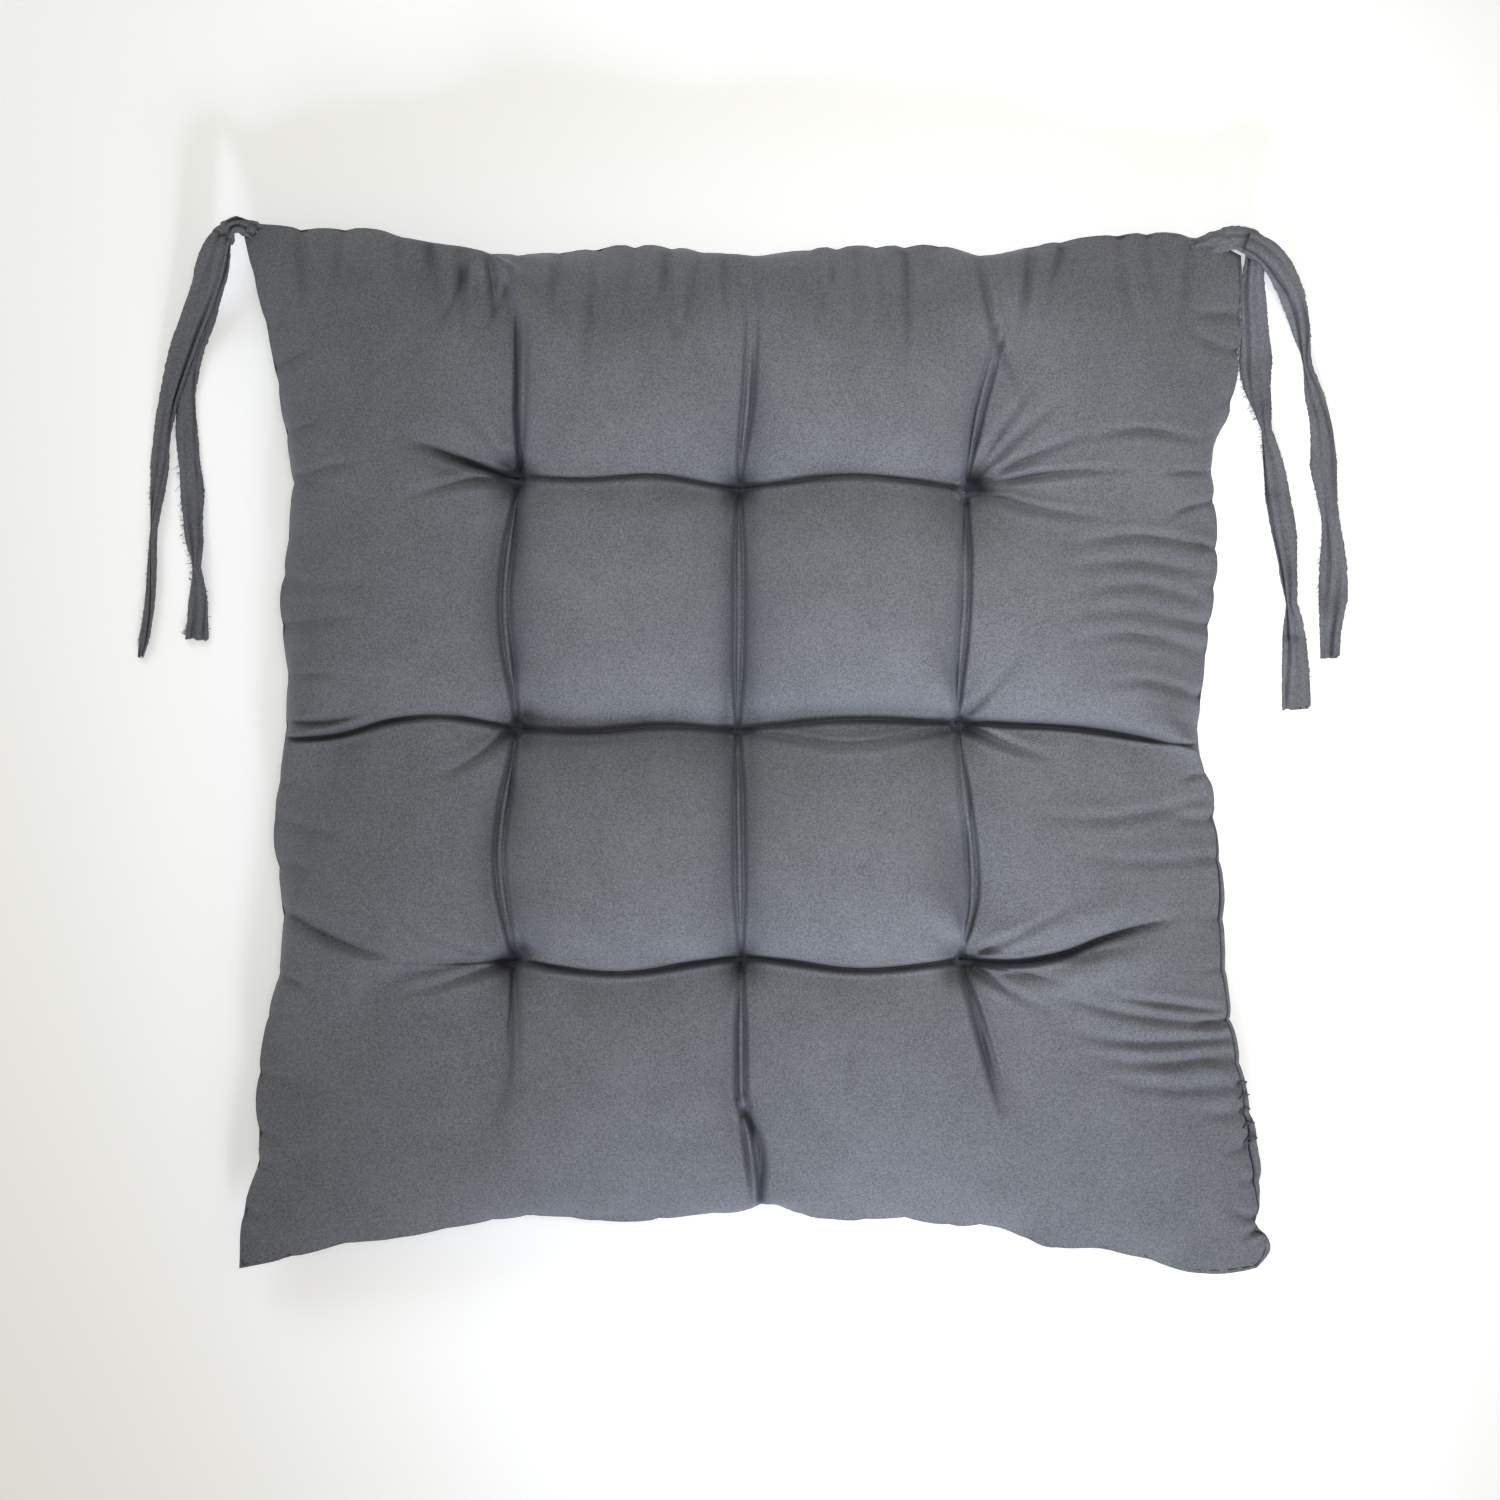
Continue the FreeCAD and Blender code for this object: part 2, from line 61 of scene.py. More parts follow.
cover_low, cover_high = corners_of("top_cover")
SEAM_Z = float(cover_low[2])
TUFT_ROWS = ("front", "middle", "back")
TUFT_COLUMNS = ("left", "centre", "right")

# ---------------------------------------------------------------- numbers of the cushion

# Each side runs anticlockwise from corner to corner. Its points give how far the edge lies inside
# the straight line between the corners: (share of the way, millimetres).
CORNERS = {
    "front_left": (cover_low[0] - 0.5 * MM, cover_low[1] - 1.2 * MM),
    "front_right": (cover_high[0] - 1 * MM, cover_low[1] - 0.9 * MM),
    "back_right": (cover_high[0] - 7.5 * MM, cover_high[1] - 14 * MM),
    "back_left": (cover_low[0] + 0.5 * MM, cover_high[1] - 1 * MM),
}
SIDES = [
    ("front_left", "front_right", [
        (0.06, 5.8), (0.11, 10.8), (0.157, 12.7), (0.206, 16.6), (0.3, 21.4), (0.36, 19.4), (0.4, 19.5),
        (0.45, 22), (0.5, 24), (0.519, 27), (0.55, 22), (0.6, 19.6), (0.646, 20.4), (0.7, 17.4), (0.744, 17),
        (0.792, 9.2), (0.841, 8.6), (0.89, 4.2), (0.94, -1.4), (0.97, -1.6), (0.99, -0.8),
    ]),
    ("front_right", "back_right", [
        (0.005, -1.8), (0.016, -4.8), (0.029, -4.2), (0.037, -1.8), (0.042, 0.4), (0.05, -0.6), (0.07, 0.6),
        (0.09, 1.4), (0.114, 2.8), (0.14, 3.6), (0.175, 5.6), (0.24, 9.9), (0.3, 13), (0.38, 13.6),
        (0.444, 14.6), (0.482, 15.8), (0.506, 20.2), (0.52, 20.6), (0.565, 19), (0.622, 16), (0.69, 12),
        (0.76, 12.3), (0.797, 13.2), (0.812, 12.8), (0.826, 9.5), (0.845, 6), (0.866, 4), (0.93, 0.5),
    ]),
    ("back_right", "back_left", [
        (0.03, -5), (0.084, -7.7), (0.141, -5.4), (0.204, -1.1), (0.25, 3.8), (0.305, 0.4), (0.363, 1.3),
        (0.425, 2.9), (0.474, 6.7), (0.514, 8), (0.552, 5), (0.612, 4.2), (0.681, 8.2), (0.711, 9.3),
        (0.795, 8.5), (0.863, 1.6), (0.93, 1.6),
    ]),
    ("back_left", "front_left", [
        (0.06, 6.3), (0.13, 13.3), (0.2, 18), (0.235, 20.6), (0.3, 19.5), (0.36, 16.4), (0.43, 19.1),
        (0.5, 18.3), (0.565, 14.4), (0.6, 14.4), (0.635, 16.8), (0.7, 17.1), (0.764, 11.3), (0.83, 7.5),
        (0.9, 7.5), (0.94, 2.5),
    ]),
]
# The seam's gathers: their size on each side, in the order of SIDES, and how far apart they are.
NOTCH_SCALE = (0.6, 1.0, 1.2, 0.95)
NOTCH_SPACING = (11 * MM, 23 * MM)
NOTCH_DEPTH, NOTCH_WIDTH = 1.9 * MM, 2.6 * MM
PANEL_SIZE = (400 * MM, 404 * MM)  # each panel, before it is filled
TUFT_SHIFTS = [  # millimetres that each tuft is off its CAD place, by row and column
    [(-1.3, 0.3), (0.7, 1.8), (0, 0.8)],
    [(-0.5, -1.4), (-0.8, -1.8), (-1.6, 0.9)],
    [(1.1, 3.1), (-0.1, 0), (1.9, -1.2)],
]


def notches(side):
    """Where the seam's gathers pull the edge in, along a side: (share of the way, size)."""
    draw = np.random.default_rng(50 + side)
    at, found = 0.05, []
    while at < 0.95:
        found.append((at, float(draw.uniform(0.4, 1.0)) * NOTCH_SCALE[side]))
        at += float(draw.uniform(*NOTCH_SPACING)) / PANEL_SIZE[0]
    return found


def side_line(side, share):
    """Edge of the pad along a side, at shares of the way between its corners, in plan."""
    start, end, hollows = SIDES[side]
    start, end = np.array(CORNERS[start]), np.array(CORNERS[end])
    at = np.array([0] + [place for place, _ in hollows] + [1])
    depth = np.array([0] + [hollow for _, hollow in hollows] + [0]) * MM
    slope = np.gradient(depth, at)
    i = np.clip(np.searchsorted(at, share, side="right") - 1, 0, len(at) - 2)
    gap = at[i + 1] - at[i]
    s = (share - at[i]) / gap
    inward = (
        (2 * s**3 - 3 * s**2 + 1) * depth[i]
        + (s**3 - 2 * s**2 + s) * gap * slope[i]
        + (3 * s**2 - 2 * s**3) * depth[i + 1]
        + (s**3 - s**2) * gap * slope[i + 1]
    )
    along = end - start
    length = np.hypot(*along)
    for place, size in notches(side):
        inward = inward + size * NOTCH_DEPTH * np.exp(-np.abs(share - place) * length / NOTCH_WIDTH)
    inward = inward - 0.25 * NOTCH_DEPTH * np.clip(30 * share * (1 - share), 0, 1)
    left = np.array([-along[1], along[0]]) / length
    return start + share[:, None] * along + inward[:, None] * left


def edge_lines(share):
    """The four sides in the grid's own order: front and back left to right, sides front to back."""
    front, right = side_line(0, share), side_line(1, share)
    back, left = side_line(2, 1 - share), side_line(3, 1 - share)
    return front, right, back, left


def smooth_noise(seed, shape, cells):
    """Even random bumps of about one unit, smoothed by a cubic B-spline."""
    values = np.random.default_rng(seed).normal(size=(cells + 3, cells + 3))
    for axis in (0, 1):
        t = np.linspace(0, cells, shape[axis])
        i = np.minimum(t.astype(int), cells - 1)
        f = t - i
        weights = ((1 - f) ** 3, 3 * f**3 - 6 * f**2 + 4, -3 * f**3 + 3 * f**2 + 3 * f + 1, f**3)
        column = [-1 if a == axis else 1 for a in (0, 1)]
        values = sum(
            np.take(values, i + k, axis=axis) * (w / 6).reshape(column) for k, w in enumerate(weights)
        )
    return values


# ---------------------------------------------------------------- cloth solver

GRAVITY = 0.001 * MM
DAMPING = 0.9
EDGE_HOLD, EDGE_DROOP = 0.6, 0.05  # shares of the way that the edge moves to its place at each step
CORNER_DROOP = 8 * MM
GUIDE_HOLD = 0.15
FLOOR_GAP = 0.4 * MM
THREAD_STIFFNESS = (1.0, 0.25)  # against stretching and against squashing, along the weave
BIAS_STIFFNESS = (0.3, 0.09)  # and across it
LUMPINESS, LUMP_CELLS = 0.07, 10
CHANNEL_SOFTNESS = 0.85
RINGS = {  # the four edges, as slices of a panel or of both: (across, along, xyz)
    "front": np.s_[..., :, 0, :],
    "right": np.s_[..., -1, :, :],
    "back": np.s_[..., :, -1, :],
    "left": np.s_[..., 0, :, :],
}


def spring_groups(count, step):
    """Springs of the cloth, in groups that share no point: (start, end, length, stiffness)."""
    everything = slice(None)
    diagonal = math.hypot(*step)
    groups = []
    for first in (0, 1):
        a, b = slice(first, count, 2), slice(first + 1, count + 1, 2)
        low, high = slice(0, count), slice(1, count + 1)
        groups += [
            ((everything, a, everything), (everything, b, everything), step[0], THREAD_STIFFNESS),
            ((everything, everything, a), (everything, everything, b), step[1], THREAD_STIFFNESS),
            ((everything, a, low), (everything, b, high), diagonal, BIAS_STIFFNESS),
            ((everything, a, high), (everything, b, low), diagonal, BIAS_STIFFNESS),
        ]
    return groups


def pull(points, free, start, end, length, stretch, squash):
    """Moves both ends of each spring towards its length."""
    a, b = points[start], points[end]
    gap = b - a
    distance = np.sqrt((gap * gap).sum(-1))
    error = (distance - length) / np.maximum(distance, 1e-9)
    error *= np.where(error > 0, stretch, squash)
    free_a, free_b = free[start], free[end]
    move = (error / np.maximum(free_a + free_b, 1e-9))[..., None] * gap
    points[start] = a + move * free_a[..., None]
    points[end] = b - move * free_b[..., None]


def seam_height(x, y):
    """Height that the seam settles at: the unstuffed corners droop."""
    corner = (np.abs(x) / cover_high[0]) ** 6 * (np.abs(y) / cover_high[1]) ** 6
    return SEAM_Z - CORNER_DROOP * np.clip(corner, 0, 1)


def tuft_places():
    """Plan places of the tufts, by row and column."""
    places = np.zeros((3, 3, 2))
    for r, row in enumerate(TUFT_ROWS):
        for c, column in enumerate(TUFT_COLUMNS):
            low, high = corners_of(f"tuft_thread_{row}_{column}")
            places[r, c] = (low + high)[:2] / 2 + np.array(TUFT_SHIFTS[r][c]) * MM
    return places


TUFTS = tuft_places()
thread_low, thread_high = corners_of("tuft_thread_middle_centre")
TUFT_TOP = float(thread_high[2]) - 2 * MM  # heights that the covers are drawn to at a tuft
TUFT_FOOT = float(thread_low[2]) + 4 * MM


# Lines of the deep folds, left to right and front to back: (x, y, depth) in millimetres.
COLUMN_FOLDS = [
    [(-91, -150, 0), (-91, -118, 0.8), (-91.5, -84.5, 3), (-96.9, -41.5, 2.6), (-90.7, 7, 3),
     (-94.9, 55, 2.6), (-89.1, 102.7, 3), (-88.4, 130, 2.5), (-88, 150, 1.6), (-88, 170, 0.7), (-88, 190, 0)],
    [(3, -180, 2.6), (-2, -142, 3.2), (-3.5, -132, 3.2), (-3.5, -83, 3.4), (-4, -53, 2.4), (-4.7, 5.4, 3),
     (-4.2, 50, 2.2), (-4, 99.6, 3), (-1, 130, 2.6), (0.5, 152, 1.6), (1, 168, 0.5), (1, 184, 0.1)],
    [(99, -146, 0), (93, -122.8, 1.4), (87.2, -103.5, 2), (81.8, -84.1, 3), (86, -53, 2.6), (80.2, 8.1, 3),
     (82.5, 55, 2.6), (83.7, 98, 3), (87.5, 125, 2.8), (94, 150, 1.8), (98, 166, 0.4), (100, 184, 0)],
]
ROW_FOLDS = [
    [(-150, -85, 0), (-134, -84.5, 0.7), (-112, -84.8, 1.6), (-91.5, -84.5, 3), (-50, -88.7, 2.6),
     (-3.5, -83, 3.4), (42, -87.5, 2.8), (81.8, -84.1, 3), (104, -84.5, 2.2), (118, -83, 0)],
    [(-181, 1.2, 3), (-159, 3.1, 3), (-135.6, 8.9, 2.6), (-116.3, 10.4, 2.4), (-90.7, 5.8, 3),
     (-62, 4.2, 2.6), (-34, 6.6, 2.4), (-4.8, 5.4, 3), (36, 9, 2.4), (80.2, 8.1, 3.2), (100.8, 7.4, 3.2),
     (128, 5.8, 3), (173, -1.2, 3)],
    [(-112, 108, 0), (-104, 106, 1.6), (-89.1, 102.7, 3), (-64, 101.2, 2.4), (-36, 102.8, 2.4),
     (-4.3, 99.2, 3), (40, 102.6, 2.4), (83.7, 98, 3), (104, 98, 0.6), (116, 99, 0)],
]
LINE_SHARES = (0.25, 0.5, 0.75)  # lines of the grid that lie in the deep folds
CHANNEL_WIDTH = 3.4 * MM
FULL_FOLD = 2.4  # millimetres of depth at which a fold draws the fabric in fully


def fold_guides(count):
    """For each line of the grid that lies in a deep fold: slice, axis, and where it should run."""
    guides = []
    for folds, axis in ((COLUMN_FOLDS, 0), (ROW_FOLDS, 1)):
        for share, fold in zip(LINE_SHARES, folds):
            i = round(share * count)
            where = (i, slice(1, -1)) if axis == 0 else (slice(1, -1), i)
            fold = curve_through(sorted(fold, key=lambda point: point[1 - axis]))
            guides.append((where, axis, fold[:, 1 - axis] * MM, fold[:, axis] * MM, fold[:, 2] / FULL_FOLD))
    return guides


def channel_map(count, guides):
    """How strongly each point of the grid is drawn in by the folds near it."""
    share = np.linspace(0, 1, count + 1)
    near = np.zeros((count + 1, count + 1))
    for (where, axis, at, _, strength), line in zip(guides, LINE_SHARES * 2):
        close = np.exp(-(((share - line) * PANEL_SIZE[axis] / CHANNEL_WIDTH) ** 2))
        along = CORNERS["front_left"][1 - axis] + share * PANEL_SIZE[1 - axis]
        pulled = np.clip(np.interp(along, at, strength, left=0, right=0), 0, 1)
        spread = np.outer(close, pulled) if axis == 0 else np.outer(pulled, close)
        near = np.maximum(near, spread)
    return near


def settle(points, count, steps, pressure, opening, bending, channel_pull):
    """Runs the cloth solver: pressure, gravity, threads, tufts, seam and the surface beneath."""
    step = (PANEL_SIZE[0] / count, PANEL_SIZE[1] / count)
    groups = spring_groups(count, step)
    outline = dict(zip(RINGS, edge_lines(np.linspace(0, 1, count + 1))))
    free = np.ones(points.shape[:3])
    quarter = count // 4
    pins = []
    for panel, height in ((TOP, TUFT_TOP), (BOTTOM, TUFT_FOOT)):
        for r, c in np.ndindex(3, 3):
            pin = (panel, quarter * (c + 1), quarter * (r + 1))
            pins.append((pin, points[pin].copy(), np.append(TUFTS[r, c], height)))
            free[pin] = 0
    outline_start = {side: points[TOP][ring][:, :2].copy() for side, ring in RINGS.items()}
    shape = points.shape[1:3]
    lumps = 1 + LUMPINESS * np.stack([smooth_noise(11 + panel, shape, LUMP_CELLS) for panel in (TOP, BOTTOM)])
    guides = fold_guides(count)
    channel = channel_map(count, guides)
    lumps = lumps * (1 - (1 + channel_pull) * channel)
    soft = bending * (1 - CHANNEL_SOFTNESS * channel)[None, 1:-1, 1:-1, None] * free[:, 1:-1, 1:-1, None]
    speed = np.zeros_like(points)
    outward = np.array([1.0, -1.0])[:, None, None, None]
    for number in range(steps):
        share = min(1.0, (number + 1) / opening) if opening else 1.0
        share = share * share * (3 - 2 * share)
        across = np.zeros_like(points)
        along = np.zeros_like(points)
        across[:, 1:-1] = points[:, 2:] - points[:, :-2]
        along[:, :, 1:-1] = points[:, :, 2:] - points[:, :, :-2]
        force = np.cross(across, along) * outward / (4 * step[0] * step[1])
        force *= (pressure * lumps)[..., None]
        force[..., 2] -= GRAVITY
        speed = (speed + force) * DAMPING
        moved = points + speed
        for pin, start, end in pins:
            moved[pin] = start * (1 - share) + end * share
        for side, ring in RINGS.items():
            edge = moved[ring].mean(axis=0)
            target = outline_start[side] * (1 - share) + outline[side] * share
            edge[:, :2] += EDGE_HOLD * (target - edge[:, :2])
            edge[:, 2] += EDGE_DROOP * (seam_height(edge[:, 0], edge[:, 1]) - edge[:, 2])
            moved[ring] = edge
        for start, end, length, stiffness in groups:
            pull(moved, free, start, end, length, *stiffness)
        for ring in RINGS.values():
            moved[ring] = moved[ring].mean(axis=0)
        for where, axis, at, run, strength in guides:
            line = moved[TOP][where]
            along = line[:, 1 - axis]
            hold = GUIDE_HOLD * np.clip(np.interp(along, at, strength, left=0, right=0), 0, 1) * share
            line[:, axis] += hold * (np.interp(along, at, run) - line[:, axis])
        inner = moved[:, 1:-1, 1:-1]
        around = moved[:, :-2, 1:-1] + moved[:, 2:, 1:-1] + moved[:, 1:-1, :-2] + moved[:, 1:-1, 2:]
        moved[:, 1:-1, 1:-1] = inner + soft * (0.25 * around - inner)
        moved[..., 2] = np.maximum(moved[..., 2], FLOOR_GAP)
        speed = moved - points
        points = moved
    return points


def refine(points):
    """Doubles the grid, with a cubic between its points."""
    for axis in (1, 2):
        a = np.moveaxis(points, axis, 0)
        finer = np.zeros((2 * len(a) - 1, *a.shape[1:]))
        finer[::2] = a
        middle = 0.5 * (a[:-1] + a[1:])
        middle[1:-1] = (9 * (a[1:-2] + a[2:-1]) - (a[:-3] + a[3:])) / 16
        finer[1::2] = middle
        points = np.moveaxis(finer, 0, axis)
    return points


FIRST_WAVES, FIRST_BULGE = 0.3 * MM, 6 * MM


def flat_panels(count):
    """Both panels before filling: flat, a little apart, with slight waves that seed the folds."""
    u = np.linspace(0, 1, count + 1)[:, None, None]
    v = np.linspace(0, 1, count + 1)[None, :, None]
    low = (1 - u) * np.array(CORNERS["front_left"]) + u * np.array(CORNERS["front_right"])
    high = (1 - u) * np.array(CORNERS["back_left"]) + u * np.array(CORNERS["back_right"])
    points = np.zeros((2, count + 1, count + 1, 3))
    points[..., :2] = (1 - v) * low + v * high
    bulge = np.sin(np.pi * u[..., 0]) * np.sin(np.pi * v[..., 0])
    waves = FIRST_WAVES * smooth_noise(3, points.shape[1:3], 20)
    points[TOP, ..., 2] = SEAM_Z + FIRST_BULGE * bulge + waves * (bulge > 0.02)
    points[BOTTOM, ..., 2] = SEAM_Z - FIRST_BULGE * bulge
    return points


COARSE = 76
# Steps, pressure, opening steps, bending, and how hard the channels are drawn in.
FIRST_STAGE = (700, 0.008 * MM, 250, 0.02, 2.5)
SECOND_STAGE = (500, 0.004 * MM, 0, 0.02, 2.5)


def inflate():
    """The puffed panels, as an array of (panel, across, along, xyz)."""
    points = flat_panels(COARSE)
    points = settle(points, COARSE, *FIRST_STAGE)
    return settle(refine(points), 2 * COARSE, *SECOND_STAGE)


# ---------------------------------------------------------------- pressed folds


def cubic_at(values, places):
    """Catmull-Rom values of an array along its first axis, at places in units of its index."""
    last = len(values) - 1
    i = np.clip(np.floor(places).astype(int), 0, last - 1)
    f = (places - i).reshape(-1, *[1] * (values.ndim - 1))
    before, after = values[np.maximum(i - 1, 0)], values[np.minimum(i + 2, last)]
    start, end = values[i], values[i + 1]
    third = 3 * (start - end) + after - before
    return start + 0.5 * f * (end - before + f * (2 * before - 5 * start + 4 * end - after + f * third))


SMOOTHINGS = 5
CROWDING = 0.5  # how much closer the grid's lines are at the deep folds than on average
FINE = 304


def crowded_shares():
    """Places of the fine grid's lines, as shares of the way across a panel."""
    share = np.linspace(0, 1, FINE + 1)
    return share - CROWDING * np.sin(8 * np.pi * share) / (8 * np.pi)


def crowd(panel):
    """Finer grid of a panel, with its lines closest together along the deep folds."""
    share = crowded_shares()
    for _ in range(SMOOTHINGS):
        inner = panel[1:-1, 1:-1]
        around = panel[:-2, 1:-1] + panel[2:, 1:-1] + panel[1:-1, :-2] + panel[1:-1, 2:]
        panel[1:-1, 1:-1] = 0.5 * inner + 0.125 * around
    for axis in (0, 1):
        turned = np.moveaxis(panel, axis, 0)
        panel = np.moveaxis(cubic_at(turned, share * (len(turned) - 1)), 0, axis)
    settle_rim(panel)
    return panel


def curve_through(points, per_span=6):
    """Smooth line through given points."""
    points = np.array(points, float)
    return cubic_at(points, np.linspace(0, len(points) - 1, per_span * (len(points) - 1) + 1))


def distance_to(line, xy):
    """Distance of each point in plan from a line, and the line's last value at the nearest place."""
    best = np.full(xy.shape[:-1], 1e9)
    value = np.zeros(xy.shape[:-1])
    for a, b in zip(line[:-1], line[1:]):
        along = b[:2] - a[:2]
        t = np.clip(((xy - a[:2]) @ along) / max(along @ along, 1e-9), 0, 1)
        gap = np.hypot(*np.moveaxis(xy - a[:2] - t[..., None] * along, -1, 0))
        closer = gap < best
        best = np.where(closer, gap, best)
        value = np.where(closer, a[2] + t * (b[2] - a[2]), value)
    return best, value


CLOSING_REACH = 26  # how near a tuft a double fold starts to close, in millimetres


def press(panel, points, width, gap=0.0, ridge=0.12):
    """Presses a fold into a panel: one valley, or two with a ridge between if there is a gap."""
    line = curve_through(points)
    xy = panel[..., :2] / MM
    reach = 4 * width + gap
    inside = np.all((xy > line[:, :2].min(0) - reach) & (xy < line[:, :2].max(0) + reach), axis=-1)
    place = xy[inside]
    distance, depth = distance_to(line, place)
    if gap:
        tufts = (TUFTS / MM).reshape(-1, 2)
        nearest = np.min(np.hypot(*np.moveaxis(place[:, None] - tufts[None], -1, 0)), axis=1)
        gap = gap * np.clip(nearest / CLOSING_REACH, 0, 1)
    off = np.abs(distance - gap / 2) / width
    valley = np.exp(-(off**1.6)) - ridge * np.exp(-((off - 2.1) ** 2))
    panel[inside, 2] -= depth * valley * MM


# Smaller folds: the width, then points as (x, y, depth), all in millimetres.
SMALL_FOLDS = [
    (1.3, (-5, 5.4, 0.8), (19.4, 1, 1.2), (42.6, -1, 1.1), (80, 5.8, 0.8)),
    (1.3, (-91.5, 103, 2), (-106, 107, 2.2), (-117, 111, 1.6), (-130, 116.5, 0)),
    (4.5, (-89, 103, 0.8), (-112, 109, 1.4), (-128, 116, 0.8), (-140, 122, 0)),
    (1.6, (-128, -83.6, 0), (-142, -81.5, 0.8), (-156, -77.6, 1.3), (-168, -72.4, 1.4), (-182, -65.5, 1.1)),
    (1.9, (116, -97, 0), (148, -105, 0.9), (182, -109, 0.7)),
    (1.9, (122, -111, 0), (150, -116, 0.9), (186, -115, 0.6)),
    (2, (135, -130, 0), (165, -134, 0.8), (190, -133, 0.6)),
    (2, (108, -27, 0), (140, -29, 0.7), (176, -22, 0.5)),
    (2, (122, -42, 0), (150, -46, 0.6), (178, -44, 0.5)),
    (1.8, (112, 66, 0), (146, 70, 0.7), (178, 66, 0.6)),
    (1.8, (110, 48, 0), (146, 51, 0.6), (176, 46, 0.6)),
    (1.8, (-180, 62, 0.8), (-162, 60, 0.6), (-146, 62, 0)),
    (1.8, (-184, 101, 1), (-168, 104.5, 1), (-146, 110, 0)),
    (1.8, (-184, 44, 1), (-168, 46.5, 0.9), (-148, 50, 0)),
    (2.2, (-188, 146, 0.9), (-176, 149, 1), (-164, 158, 0)),
    (1.9, (-182, -30, 0.6), (-166, -34, 0.5), (-150, -34, 0)),
    (4.5, (-134, -81, 0), (-150, -77, 0.6), (-163, -73.4, 1), (-181, -66, 0.6)),
    (1.2, (81.8, -84, 2), (100, -85.3, 3), (118, -82.5, 3.2), (136, -76, 2.6), (152, -71, 1.4),
     (170, -67, 0)),
    (5, (81.8, -84, 1), (118, -82.5, 2.6), (136, -76, 2.2), (166, -68, 0)),
    (1.5, (116, -83, 0), (130, -82, 0.8), (148, -78, 0)),
    (1.7, (83.7, 98, 1.2), (100, 126, 0.7), (117, 148, 0)),
    (1.6, (83.7, 98, 1.2), (104, 119, 0.8), (127, 138, 0)),
    (1.6, (83.7, 98, 1.4), (110, 111, 0.9), (138, 123, 0)),
    (1.5, (83.7, 98, 1.8), (118, 104, 1), (150, 106, 0)),
    (1.6, (83.7, 98, 1.2), (110, 90, 0.9), (140, 87, 0)),
    (1.6, (126, 117, 0), (150, 121, 0.9), (172, 118, 0.5)),
    (1.8, (120, 76, 0), (148, 80, 0.9), (176, 77, 0.8)),
    (1.7, (126, 58, 0), (150, 61, 0.8), (174, 56, 0.6)),
    (1.8, (120, 38, 0), (146, 42, 0.9), (176, 36, 0.8)),
    (1.8, (132, 22, 0), (152, 24, 0.9), (176, 18, 0.9)),
    (1.7, (80.2, 8.1, 2), (98, 0, 1), (118, -6, 0)),
    (1.7, (80.2, 8.1, 1.4), (94, 22, 0.8), (106, 38, 0)),
    (1.6, (81.8, -84, 1.4), (101, -96, 0.8), (118, -104, 0)),
    (1.5, (83, -88, 1.0), (87.5, -106, 1.5), (92.5, -124, 1.5), (98, -142, 0.5)),
    (1.6, (81.8, -84, 1.6), (104, -74, 1), (128, -60, 0)),
    (1.8, (140, -98, 0), (160, -101, 1), (182, -104, 0.6)),
    (2, (132, -122, 0), (160, -124, 1), (186, -121, 0.8)),
    (1.7, (-91.5, -84.5, 0.8), (-118, -76, 0.4), (-142, -62, 0)),
    (1.8, (-91.5, -84.5, 1.2), (-116, -92, 0.7), (-138, -98, 0)),
    (1.7, (-90.7, 5.8, 1.6), (-106, -6, 1), (-124, -14, 0)),
    (1.4, (-180, 7, 1.8), (-160, 9, 1.4), (-140, 15, 0)),
    (1.6, (-89, 102.7, 1.6), (-112, 100, 1), (-136, 94, 0)),
    (1.8, (-89, 102.7, 0.6), (-104, 122, 0.3), (-118, 142, 0)),
    (1.7, (-112, 190, 1.2), (-110.5, 174, 1.1), (-108, 154, 0)),
    (1.6, (-101, 190, 1.3), (-99, 176, 1), (-98, 162, 0)),
    (1.6, (-74, 188, 1.3), (-75, 174, 1.2), (-76, 156, 0)),
    (1.6, (109, 191, 1.6), (107, 176, 1.4), (103.5, 156, 0)),
    (1.6, (121, 191, 1.3), (118, 180, 1.1), (113, 166, 0)),
    (1.6, (-9, 189, 1.1), (-9, 178, 0.9), (-8, 162, 0)),
    (1.6, (-124, 192, 1.2), (-121, 180, 1.1), (-118, 164, 0)),
    (1.6, (26, 189, 1.1), (27, 176, 1), (28, 160, 0)),
    (1.7, (42, 189, 1), (43, 174, 0.9), (44, 156, 0)),
    (1.6, (60, 189, 1.1), (62, 176, 1), (64, 158, 0)),
    (1.8, (-33, 188, 0.9), (-30, 168, 1), (-27, 148, 0)),
    (1.3, (204, -190, 2.2), (200, -189.5, 1.8), (195, -191, 0.8), (190, -194, 0)),
    (1.8, (-64, -112, 0), (-63, -132, 0.7), (-62, -152, 0)),
    (1.8, (39, -104, 0), (38, -122, 0.7), (36, -142, 0)),
    (1.7, (-3.5, -83, 0.8), (-12, -104, 0.4), (-16, -122, 0)),
    (1.5, (-2, -142, 2.4), (4, -156, 2.2), (4, -180, 2)),
]
PUCKERS = ((0.8, 0.8), (1.0, 1.1), (2.1, 1.5), (1.1, 1.2))  # length and depth of the gathers, by side


